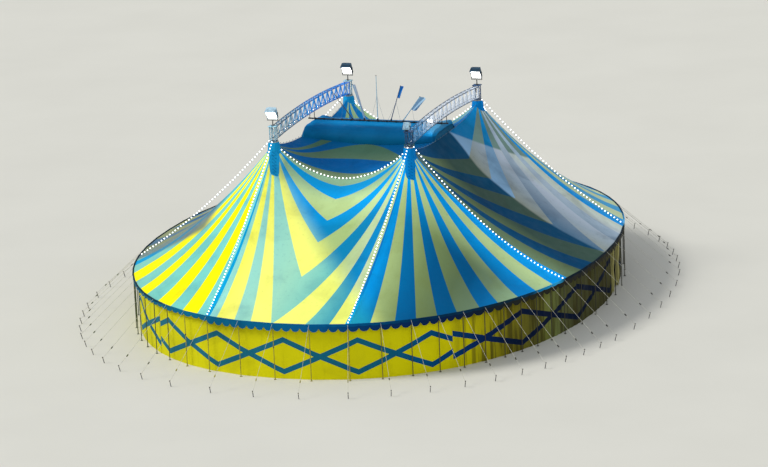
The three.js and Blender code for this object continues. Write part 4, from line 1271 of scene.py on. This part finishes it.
# Masts and trusses
def mast(name, sx, sy):
    shape = Shape()
    centre = Vector((sx * MAST_X, sy * MAST_Y, 0))
    corners = square(centre, MAST_HALF)
    low, high = FOOT_HEIGHT, MAST_TOP_Z - HEAD_HEIGHT
    levels = spread(low, high, round((high - low) / MAST_PANEL))
    for corner in corners:
        shape.tube([corner + UP * low / 2, corner + UP * (high + HEAD_HEIGHT / 2)], CHORD_RADIUS, 10)
    for i, (z, above) in enumerate(zip(levels, levels[1:])):
        for a, b in sides_of(corners):
            foot, head = (a, b) if i % 2 else (b, a)
            shape.tube([foot + UP * z, head + UP * above], BRACE_RADIUS, 5)
            shape.tube([a + UP * z, b + UP * z], BRACE_RADIUS, 5)
    shape.block(centre + UP * low / 2, (2 * FOOT_HALF, 2 * FOOT_HALF, low), None, 0, FOOT_BEVEL)
    shape.block(centre + UP * (high + HEAD_HEIGHT / 2), (2 * HEAD_HALF, 2 * HEAD_HALF, HEAD_HEIGHT),
                None, 0, HEAD_BEVEL)
    for bolt in square(centre + UP * low, FOOT_HALF * 0.78):
        shape.tube([bolt, bolt + UP * BOLT_HEIGHT], BOLT_RADIUS, 6, 1)
    hub = centre + UP * (PEAK_Z - RING_DROP)
    ring = circle(hub, COLLAR_RADIUS - RING_INSET, 32)
    for drop in (0, RING_DEPTH):
        shape.tube([p - UP * drop for p in [*ring, ring[0]]], RING_TUBE, 8, 1)
    for p in ring[::4]:
        shape.tube([p, p - UP * RING_DEPTH], RING_TIE, 6, 1)
        shape.tube([p, p.lerp(hub, 0.45)], RING_TIE, 6, 1)
    laced = circle(centre + UP * (BOOT_TOP_Z + 0.003), BOOT_TOP_RADIUS + HOOP_OUT, LACES)
    for ends in zip(laced, circle(centre + UP * (BOOT_TOP_Z + 0.012), MAST_HALF * 1.2, LACES)):
        shape.tube(ends, LACE_RADIUS, 5, 2)
    hoop = circle(centre + UP * (BOOT_TOP_Z + HOOP_OUT), BOOT_TOP_RADIUS + HOOP_OUT, 24)
    shape.tube([*hoop, hoop[0]], HOOP_TUBE, 6, 2)
    # Left masts take the steel with painted light, right masts the steel with painted shade
    steel = MAST_STEEL_LIT if sx < 0 else MAST_STEEL_SHADED
    make(f"mast_frame_{name}", shape, [steel, DARK_STEEL, ROPE], [f"mast_{name}"])


def lamp_body(shape, centre, size, facing):
    """Floodlight housing with cooling fins behind and lit glass in front. Blocks are set in shares
    of its size, each with its place, size, finish and bevel."""
    turn = Matrix.Rotation(-facing * LAMP_TILT, 3, "X")

    def at(x, y, z):
        return centre + turn @ Vector((x, facing * y, z))

    visor = VISOR * size.z / size.y
    parts = [
        ((0, 0.14, 0), (1, 0.72, 1), 0, 0.02),
        ((0, -0.275, 0), (0.84, 0.4, 0.84), 0, 0.02),
        ((0, 0.495, 0), (0.9, 0.06, 0.88), 1, 0.004),
        ((0, 0.5 + visor / 2, 0.49), (1, visor, 0.02), 0, 0),
    ]
    parts.extend(((x, -0.4, 0), (0.03, 0.36, 0.8), 0, 0) for x in spread(-0.38, 0.38, 6))
    for side in (-1, 1):
        parts.append(((side * 0.48, 0.49, 0), (0.04, 0.14, 1), 0, 0))
        parts.append(((0, 0.49, side * 0.48), (1, 0.14, 0.04), 0, 0))
        parts.append(((side * 0.49, 0.5 + visor / 4, 0.3), (0.02, visor / 2, 0.4), 0, 0))
    for place, shares, finish, bevel in parts:
        scaled = [[a * b for a, b in zip(v, size)] for v in (place, shares)]
        shape.block(at(*scaled[0]), scaled[1], turn, finish, bevel)
    return at


def floodlight(name, sx, sy, facing, kind):
    scale, lift, shift = kind
    shape = Shape()
    foot = Vector((sx * MAST_X + shift, sy * MAST_Y, MAST_TOP_Z + 0.0003))
    size = LAMP_SIZE * scale
    at = lamp_body(shape, foot + UP * lift, size, facing)
    arm = size.x * 0.5 + LAMP_FORK
    fork = foot + UP * lift * 0.42
    left, right = fork - Vector((arm, 0, 0)), fork + Vector((arm, 0, 0))
    shape.block(foot + UP * 0.0125, (0.1, 0.1, 0.025), None, 2, 0.01)
    shape.tube([foot, fork], LAMP_POST, 10, 2)
    shape.tube([left, right], LAMP_FORK, 8, 2)
    for side, end in ((-1, left), (1, right)):
        shape.tube([end - UP * 0.01, at(side * arm, 0, 0.02)], LAMP_FORK, 8, 2)
        shape.tube([at(side * arm * 1.03, 0, 0), at(side * size.x * 0.46, 0, 0)], 0.026, 10, 2)
    # Front floodlights take the housing with painted light, back ones the housing with painted shade
    housing = LIT_LAMP_HOUSING if sy < 0 else SHADED_HOUSING
    make(f"floodlight_head_{name}", shape, [housing, LAMP_GLASS, DARK_STEEL],
         [f"floodlight_{name}"])


def arch(name, cx, braces, chords, with_lamp):
    """Arched box truss between two mast heads, with a row of bulbs under one lower chord."""
    shape = Shape()
    reach = MAST_Y - MAST_HALF - CHORD_RADIUS - 0.0005

    def corner(i, side, level):
        y = mix(-reach, reach, i / ARCH_PANELS)
        z = arch_top(y) - CHORD_RADIUS - level * ARCH_DEPTH
        return Vector((cx + side * ARCH_HALF_WIDTH, y, z))

    def brace(start, end):
        shape.tube([corner(*start), corner(*end)], ARCH_BRACE_RADIUS, 5)

    for side in (-1, 1):
        for level in (0, 1):
            path = [corner(i, side, level) for i in range(ARCH_PANELS + 1)]
            shape.tube(path, CHORD_RADIUS * 0.9, 8, 2)
        for i in range(0, ARCH_PANELS + 1, 2):
            brace((i, side, 1), (i, side, 0))
        for i in range(ARCH_PANELS):
            brace((i, side, i % 2), (i + 1, side, 1 - i % 2))
    for level in (0, 1):
        for i in range(0, ARCH_PANELS + 1, 2):
            brace((i, -1, level), (i, 1, level))
        for i in range(0, ARCH_PANELS, 2):
            brace((i, -1, level), (i + 2, 1, level))
    for i in range(ARCH_PANELS):
        shape.ball(corner(i + 0.5, -1, 1) - UP * CHORD_RADIUS, BULB_RADIUS * 0.5, 1)
    if with_lamp:
        hold = corner(ARCH_LAMP_SHARE * ARCH_PANELS, -1, 1)
        small = Vector((LAMP_SIZE.x / 2, LAMP_SIZE.y * 0.8, LAMP_SIZE.z / 2))
        lamp_body(shape, hold + Vector((-small.x / 2, 0, small.z / 2)), small, -1)
    make(f"arch_truss_{name}", shape, [braces, LAMP_GLASS, chords],
         [f"arch_{name}"])


def flag(number, width, height, finish):
    """Slack flag on the pole of a number."""
    foot_x, top_x, top, _ = FLAG_POLES[number]
    high, low = Vector((top_x, 0, top - 0.01)), Vector((foot_x, 0, HOOD_TOP_Z))
    corner = high.lerp(low, height / (high.z - low.z))

    def place(u, v):
        out = width * v * (1 - 0.3 * u)
        sway = 0.3 * width * sin(7 * v + 3 * u + number) * v
        return high.lerp(corner, u) + Vector((out, sway, -0.25 * out))

    shape = Shape().grid(lattice(place, 16, 12))
    piece = make(f"flag_{number + 1}", shape, [finish], (), TRIM_THICKNESS,
                 lambda place: Vector((0, -1, 0)))


def ridge_rail():
    shape = Shape()

    def rod(places, radius, sides, finish):
        """Rod in the middle plane, through places of x and z."""
        shape.tube([Vector((x, 0, z)) for x, z in places], radius, sides, finish)

    z = HOOD_TOP_Z + BEAM_LIFT
    rod([(-BEAM_HALF_LENGTH, z), (BEAM_HALF_LENGTH, z)], BEAM_RADIUS, 12, 0)
    for x in spread(-BEAM_HALF_LENGTH * 0.9, BEAM_HALF_LENGTH * 0.9, BEAM_CLAMPS - 1):
        rod([(x - CLAMP_HALF, z), (x + CLAMP_HALF, z)], BEAM_RADIUS * 1.4, 12, 0)
        shape.block((x, -0.03, z), (0.04, 0.03, 0.05), None, 0, 0.006)
    under = arch_top(0) - 2 * CHORD_RADIUS - ARCH_DEPTH
    for side, edge in CORNERS:
        x = side * MAST_X + edge * ARCH_HALF_WIDTH
        rod([(x, z), (x, under)], HANGER_RADIUS, 8, 1)
    for foot_x, top_x, top, finish in FLAG_POLES:
        low, high = Vector((foot_x, 0, z)), Vector((top_x, 0, top - 0.02))
        taper = [FLAG_POLE_RADIUS * share for share in (1, 0.85, 0.6)]
        shape.tube([low, low.lerp(high, 0.5), high], taper, 10, finish)
        shape.tube([low, low.lerp(high, 0.06)], FLAG_POLE_RADIUS * 1.7, 10, 0)
        shape.ball(high, KNOB_RADIUS, 1, 8, 4)
        for side in (-1, 1):
            anchor = Vector((mix(foot_x, top_x, 0.3) + side * STAY_REACH, 0, z))
            shape.tube([low.lerp(high, 0.55), anchor], STAY_RADIUS, 5, 2)
    # The flag poles take the mast steels with painted light and painted shade as well
    make("ridge_rail", shape, [RAIL_STEEL, DARK_STEEL, CABLE, MAST_STEEL_LIT, MAST_STEEL_SHADED],
         ["ridge_beam"])


# Strings of bulbs
def string(shape, path, pitch=BULB_PITCH, radius=BULB_RADIUS):
    """Cable through the points with bulbs at an even pitch."""
    shape.tube(path, CABLE_RADIUS, 6, 0)
    due = pitch / 2
    for a, b in zip(path, path[1:]):
        length = (b - a).length
        while due <= length:
            place = a.lerp(b, due / length)
            shape.tube([place, place + UP * SOCKET_HEIGHT], SOCKET_RADIUS, 6, 0)
            shape.ball(place + UP * BULB_LIFT, radius, 1, 8, 4)
            due += pitch
        due -= length


def outer_strings(name, sx, sy, side_sag):
    """Strings from a frame round a mast to the rim at the end and at the side, hung slack."""
    shape = Shape()
    top = STRING_TOP_Z + 0.006
    strings = [(MAST_X, MAST_Y + STRING_FRAME_HALF, MAST_X, rim_y(MAST_X), STRING_SAG),
               (MAST_X + STRING_FRAME_HALF, MAST_Y, rim_x(MAST_Y), MAST_Y, side_sag)]
    for x, y, end_x, end_y, sag in strings:
        start = Vector((sx * x, sy * y, top))
        end = Vector((sx * end_x, sy * end_y, RIM_Z + STRING_END_LIFT))
        string(shape, [start.lerp(end, share) - UP * 4 * sag * share * (1 - share)
                       for share in spread(0, 1, STRING_STEPS)])
    for ends in sides_of(square(Vector((sx * MAST_X, sy * MAST_Y, top)), STRING_FRAME_HALF)):
        shape.tube(ends, STRING_FRAME_WIRE, 8, 0)
    make(f"bulbs_{name}", shape, [CABLE, BULB_GLASS], [f"lights_{name}"])


def inner_strings():
    """Strings along the saddles and the side ridges, from mast to mast."""
    inner = COLLAR_RADIUS * 1.1
    rows = []
    for name, sy in (("saddle_front", -1), ("saddle_back", 1)):
        row = [(x, sy * MAST_Y, front_ridge(x)) for x in spread(inner - MAST_X, MAST_X - inner, 40)]
        rows.append((name, row, BULB_GLASS, BULB_PITCH, BULB_RADIUS))
    for name, sx in (("ridge_left", -1), ("ridge_right", 1)):
        x = sx * (MAST_X + 0.012)
        row = [(x, y, side_ridge(y)) for y in spread(inner - MAST_Y, MAST_Y - inner, 60)]
        rows.append((name, row, DIM_GLASS, RIDGE_PITCH, RIDGE_RADIUS))
    for name, row, glass, pitch, radius in rows:
        shape = Shape()
        path = [Vector((x, y, z + ripple(x, y) + CABLE_LIFT)) for x, y, z in row]
        string(shape, path, pitch, radius)
        make(f"bulbs_{name}", shape, [CABLE, glass], [f"lights_{name}"])


# Camera, floor and light
def aim_camera():
    data = bpy.data.cameras.new("camera")
    data.sensor_width = SENSOR
    data.lens = SENSOR * FOCAL_PIXELS / IMAGE_WIDTH
    data.clip_end = VIEW_LIMIT
    camera = placed("camera", data)
    aim = Matrix.Translation(CAMERA_PLACE)
    for angle, axis in ((-CAMERA_YAW, "Z"), (pi / 2 - CAMERA_PITCH, "X"), (CAMERA_ROLL, "Z")):
        aim = aim @ Matrix.Rotation(angle, 4, axis)
    camera.matrix_world = aim
    bpy.context.scene.camera = camera


def sun(name, towards, strength, softness, colour):
    data = bpy.data.lights.new(name, "SUN")
    data.energy = strength
    data.angle = radians(softness)
    data.color = colour
    placed(name, data).rotation_euler = Vector(towards).to_track_quat("-Z", "Y").to_euler()


def studio():
    bpy.ops.mesh.primitive_plane_add(size=FLOOR_SIZE, location=(0, 0, FLOOR_Z))
    floor = bpy.context.object
    floor.name = "studio_floor"
    finish = Finish("studio_floor_paint", roughness=0.9, specular=0.1)
    tones = from_screen(214, 212, 204), from_screen(206, 204, 196)
    finish.surface({"Base Color": finish.blend(finish.noise(0.2), *tones)})
    floor.data.materials.append(finish.material)
    world = bpy.data.worlds.new("studio")
    world.use_nodes = True
    background = world.node_tree.nodes["Background"].inputs
    background["Color"].default_value = SKY_COLOUR
    background["Strength"].default_value = SKY_STRENGTH
    bpy.context.scene.world = world
    sun("key_light", (0.75, 0.35, -0.75), 2.4, 20, (1.0, 0.98, 0.93))
    sun("fill_light", (-0.5, 0.8, -0.5), 0.5, 40, (0.92, 0.96, 1.0))
    bpy.context.scene.view_settings.view_transform = "Standard"


aim_camera()
studio()

for quarter, x_side, y_side, lamp_facing, lamp_kind, side_sag in QUARTERS:
    mast(quarter, x_side, y_side)
    floodlight(quarter, x_side, y_side, lamp_facing, lamp_kind)
    canopy(quarter, x_side, y_side)
    boot(quarter, x_side, y_side)
    outer_strings(quarter, x_side, y_side, side_sag)
crown("front", -1)
crown("back", 1)
hood()
hood_net("left", -1)
hood_net("right", 1)
inner_strings()
arch("left", -MAST_X, TRUSS_BLUE, CHORD_BLUE, False)
arch("right", MAST_X, TRUSS_SILVER, CHORD_GREY, True)
ridge_rail()
flag(1, 0.1, 1.5, FLAG_PALE)
flag(3, 0.13, 0.45, FLAG_BLUE)
flag(4, 0.25, 0.5, FLAG_PALE)

# Quarters of the rim in its order, each with its end and its side vertices
RIM_PARTS = [
    ("front_right", ("end", "side")),
    ("back_right", ("side", "end")),
    ("back_left", ("end", "side")),
    ("front_left", ("side", "end")),
]
vertex = 0
for quarter, parts in RIM_PARTS:
    valance(quarter, vertex)
    for part in parts:
        size = END_VERTICES if part == "end" else QUARTER_BAYS - END_VERTICES
        rigging(f"{quarter}_{part}", vertex, size)
        vertex += size

front_left, front_right, back_right, back_left = [wall_feet(q[1], q[2]) for q in QUARTERS]
entrance_front = back_right[ENTRANCE_VERTEX + 1]
entrance_back = back_right[ENTRANCE_VERTEX]
wall("front_right", [*front_right, back_right[-2], entrance_front], 1)
wall("front_left", front_left, -1)
wall("back_right", back_right[:ENTRANCE_VERTEX + 1], -1)
wall("back_left", back_left, 1)
curtain("front", entrance_front, entrance_back)
curtain("back", entrance_back, entrance_front)
